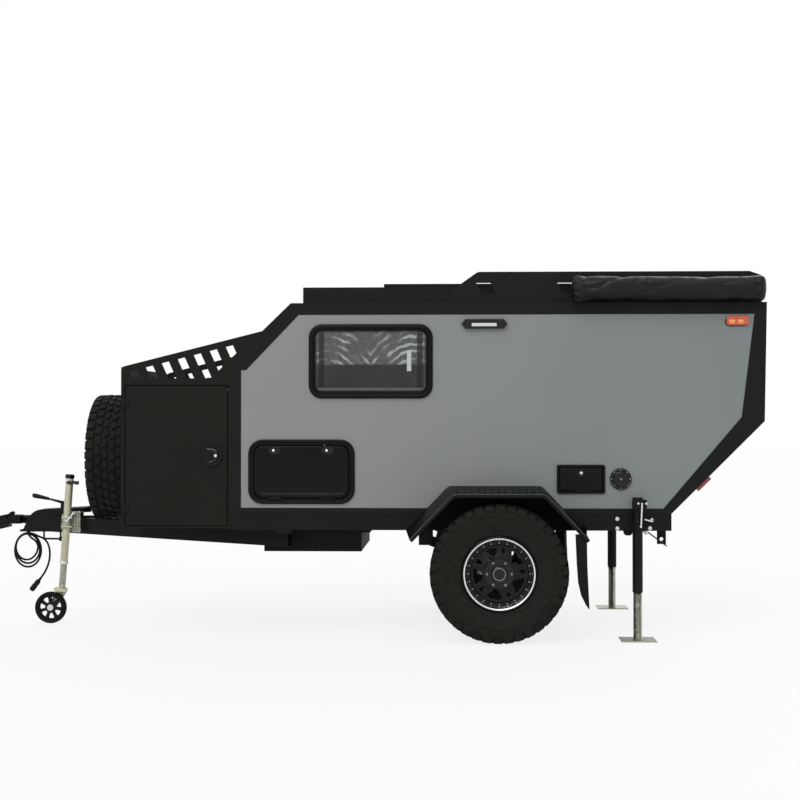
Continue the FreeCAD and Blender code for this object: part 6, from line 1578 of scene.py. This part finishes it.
def legPieces():
    for word, side in (("left", 1.0), ("right", -1.0)):
        at, tail = Matrix.Diagonal((1.0, side, 1.0, 1.0)), word.capitalize()
        body = "rear_leg_" + word
        head = Mould(at)
        head.prism(rounded(1.626, 1.712, 0.772, 0.824, 0.006, 3), -0.837, -0.83, "Y",
                   edge=0.001)
        head.prism(mm([(1630, 772), (1694, 772), (1694, 762), (1630, 762)]),
                   -0.836, -0.83, "Y", edge=0.001)
        head.done("legHead" + tail, body, "chassis", smooth=35.0)
        crank = Mould(at)
        crank.rod((1.684, -0.84, 0.806), (1.677, -0.84, 0.663), 0.006, 16, edge=0.0015)
        crank.rod((1.677, -0.83, 0.666), (1.677, -0.844, 0.666), 0.007, 14, edge=0.001)
        for x, z in legSetup["heads"]:
            crank.rod((x, -0.835, z), (x, -0.841, z), 0.0075, 6, edge=0.001)
        crank.done("legCrank" + tail, body, "bright", smooth=40.0)
        bolts = Mould(at)
        for x, z in legSetup["fixed"]:
            bolts.lathe(mm([(0, -747), (8, -746.4), (11.8, -744.6), (12.4, -740)]),
                        (x, 0, z), "Y", 24)
        bolts.done("railBolts" + tail, "trailer", "clear", smooth=35.0)
        pin = Mould(at)
        pin.rod((1.709, -0.748, 0.702), (1.758, -0.748, 0.6905), 0.0055, 12, edge=0.001)
        pin.tube([(1.756, -0.748, 0.691), (1.762, -0.748, 0.702), (1.752, -0.748, 0.708),
                  (1.744, -0.748, 0.699)], 0.0026, 8)
        pin.done("legPin" + tail, "trailer", "bright", smooth=40.0)
        stay = Mould(at)
        stay.rod((1.706, -0.756, 0.644), (1.861, -0.56, 0.532), 0.0042, 10, edge=0.001)
        stay.prism(mm([(1586, 635), (1642, 635), (1636, 613), (1624, 607), (1602, 607),
                       (1592, 613)]), -0.736, -0.7, "Y", edge=0.002)
        stay.done("legStay" + tail, "trailer", "chassis", smooth=40.0)


legPieces()
print("leg fittings set")


# Solar panel: frame with the glass let in, on the pop-top
def solarPieces():
    low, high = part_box("solar_panel")
    edge = Mould()
    outline = [(low.x, low.y), (high.x, low.y), (high.x, high.y), (low.x, high.y)]
    steps = [(0.0, low.z), (0.0, high.z - 0.0015), (0.0015, high.z), (0.024, high.z),
             (0.025, high.z - 0.001), (0.025, low.z)]
    edge.skin([[(x, y, z) for x, y in inset(outline, width)] for width, z in steps], onward=True)
    edge.done("solarFrame", "poptop", "trim", smooth=40.0)
    glass = Mould()
    glass.block((low.x + 0.02, low.y + 0.02, low.z + 0.004),
                (high.x - 0.02, high.y - 0.02, high.z - 0.0035))
    glass.done("solarGlass", "poptop", "solar", smooth=40.0, replaces="solar_panel")


solarPieces()


# Entry door: grip and lock on the far side
def doorPieces():
    low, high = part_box("entry_door")
    grip = Mould()
    x, z, y = low.x + 0.075, 1.27, high.y
    grip.prism(rounded(x - 0.032, x + 0.032, z - 0.075, z + 0.075, 0.014, 5), y - 0.01, y + 0.004,
               "Y", edge=0.0015)
    grip.tube([(x, y + 0.004, z + 0.05), (x, y + 0.022, z + 0.044), (x, y + 0.027, z + 0.02),
               (x, y + 0.027, z - 0.02), (x, y + 0.022, z - 0.044), (x, y + 0.004, z - 0.05)],
              0.006, 10)
    grip.done("entryHandle", "cabin_door", "gloss", smooth=40.0)
    lock = Mould()
    lock.lathe([(0.0, y + 0.007), (0.007, y + 0.0068), (0.009, y + 0.005),
                (0.0092, y + 0.002)], (x, 0, z - 0.06), "Y", 22)
    lock.done("entryLock", "cabin_door", "bright", smooth=30.0)


doorPieces()
print("panel frame and door grip set")


# Soft goods: folds are laid into the start shape, then air pressure swells the cloth
softSetup = {
    "bag": {"box": (1.277, 2.409, -0.878, -0.745, 1.976, 2.143), "rings": 170, "sides": 84,
            "voxel": 0.0055, "pressure": 4.0, "reach": 0.007, "round": 3.4, "shrink": 0.006},
    "mattress": {"voxel": 0.016, "pressure": 4.0, "reach": 0.012, "shrink": 0.01},
}


def swell(data, name, body, look, replaces, setup, divide):
    piece = bpy.data.objects.new(name, data)
    bpy.context.scene.collection.objects.link(piece)
    even = piece.modifiers.new("even", "REMESH")
    even.mode, even.voxel_size = "VOXEL", setup["voxel"]
    applied(piece)
    before = [v.co.copy() for v in piece.data.vertices]
    cloth = piece.modifiers.new("cloth", "CLOTH")
    cloth.settings.use_pressure = True
    cloth.settings.uniform_pressure_force = setup["pressure"]
    cloth.settings.effector_weights.gravity = 0.0
    cloth.point_cache.frame_start, cloth.point_cache.frame_end = 1, 20
    for step in range(1, 21):
        bpy.context.scene.frame_set(step)
    applied(piece)
    bpy.context.scene.frame_set(1)
    for vert, old in zip(piece.data.vertices, before):
        move = vert.co - old
        if move.length > setup["reach"]:
            vert.co = old + move.normalized() * setup["reach"]
    data = piece.data
    bpy.data.objects.remove(piece)
    return settle(data, name, body, look, smooth=70.0, subdivide=divide, replaces=replaces)


def addBag():
    setup = softSetup["bag"]
    x0, x1, y0, y1, z0, z1 = setup["box"]
    shrink = setup["shrink"]
    halfY, halfZ = (y1 - y0) / 2 - shrink, (z1 - z0) / 2 - shrink
    middle = Vector(((x0 + x1) / 2, (y0 + y1) / 2, (z0 + z1) / 2))
    rings = []
    for i in range(setup["rings"] + 1):
        share = i / setup["rings"]
        x = x0 + shrink + (x1 - x0 - 2 * shrink) * share
        fromEnd = min(share, 1 - share) * (x1 - x0)
        tuck = 1.0 - 0.22 * max(0.0, 1.0 - fromEnd / 0.02) ** 2
        flare = 1.0 - 0.05 * min(1.0, max(0.0, (share - 0.02) / 0.04)) * min(
            1.0, max(0.0, (1.02 - share) / 0.1))
        ring = []
        for a in angles(setup["sides"]):
            c, s = math.cos(a), math.sin(a)
            power = 2 / setup["round"]
            py = math.copysign(abs(c) ** power, c) * halfY
            pz = math.copysign(abs(s) ** power, s) * halfZ
            spot = Vector((x, py, pz))
            skew = Vector((x * 4.2 - pz * 8.0, py * 6.0, pz * 10.0 + x * 2.6))
            fold = 1.0 - abs(noise.noise(skew)) * 2.2
            fine = 1.0 - abs(noise.noise(skew * 2.3 + Vector((7.0, 3.0, 1.0)))) * 2.0
            sag = 0.0022 * math.sin(x * 6.5 + 1.0) * abs(s)
            far = abs(share - 0.55) * 2
            deep = (0.004 + 0.006 * far) * max(0.0, fold) ** 3
            deep += 0.0016 * max(0.0, fine) ** 3
            gather = 0.004 * math.sin(s * 21.0 + 3.0 * noise.noise(spot * 5.0))
            gather *= max(0.0, 1.0 - fromEnd / 0.1)
            size = tuck * flare - (deep + gather) / 0.075
            ring.append((x, middle.y + py * size, middle.z + pz * size - sag))
        rings.append(ring)
    start = Mould()
    start.skin(rings)
    bag = swell(start.mesh3d(), "awningBag", "trailer", "bag", "awning_bag", setup, 1)
    return bag


def addMattress():
    setup = softSetup["mattress"]
    low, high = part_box("mattress")
    shrink = setup["shrink"]
    start = Mould()
    outline = rounded(low.x + shrink, high.x - shrink, low.y + shrink, high.y - shrink, 0.045, 6)
    rings = [(0.012, low.z + 0.003), (0.002, low.z + 0.01), (0.0, low.z + 0.025),
             (0.004, (low.z + high.z) / 2), (0.0, high.z - 0.032), (0.004, high.z - 0.018),
             (0.018, high.z - shrink)]
    start.skin([[(x, y, z) for x, y in inset(outline, width)] for width, z in rings])
    mattress = swell(start.mesh3d(), "mattressSoft", "trailer", "fabric", "mattress", setup, 0)
    return mattress


addBag()
addMattress()
print("soft goods swelled")
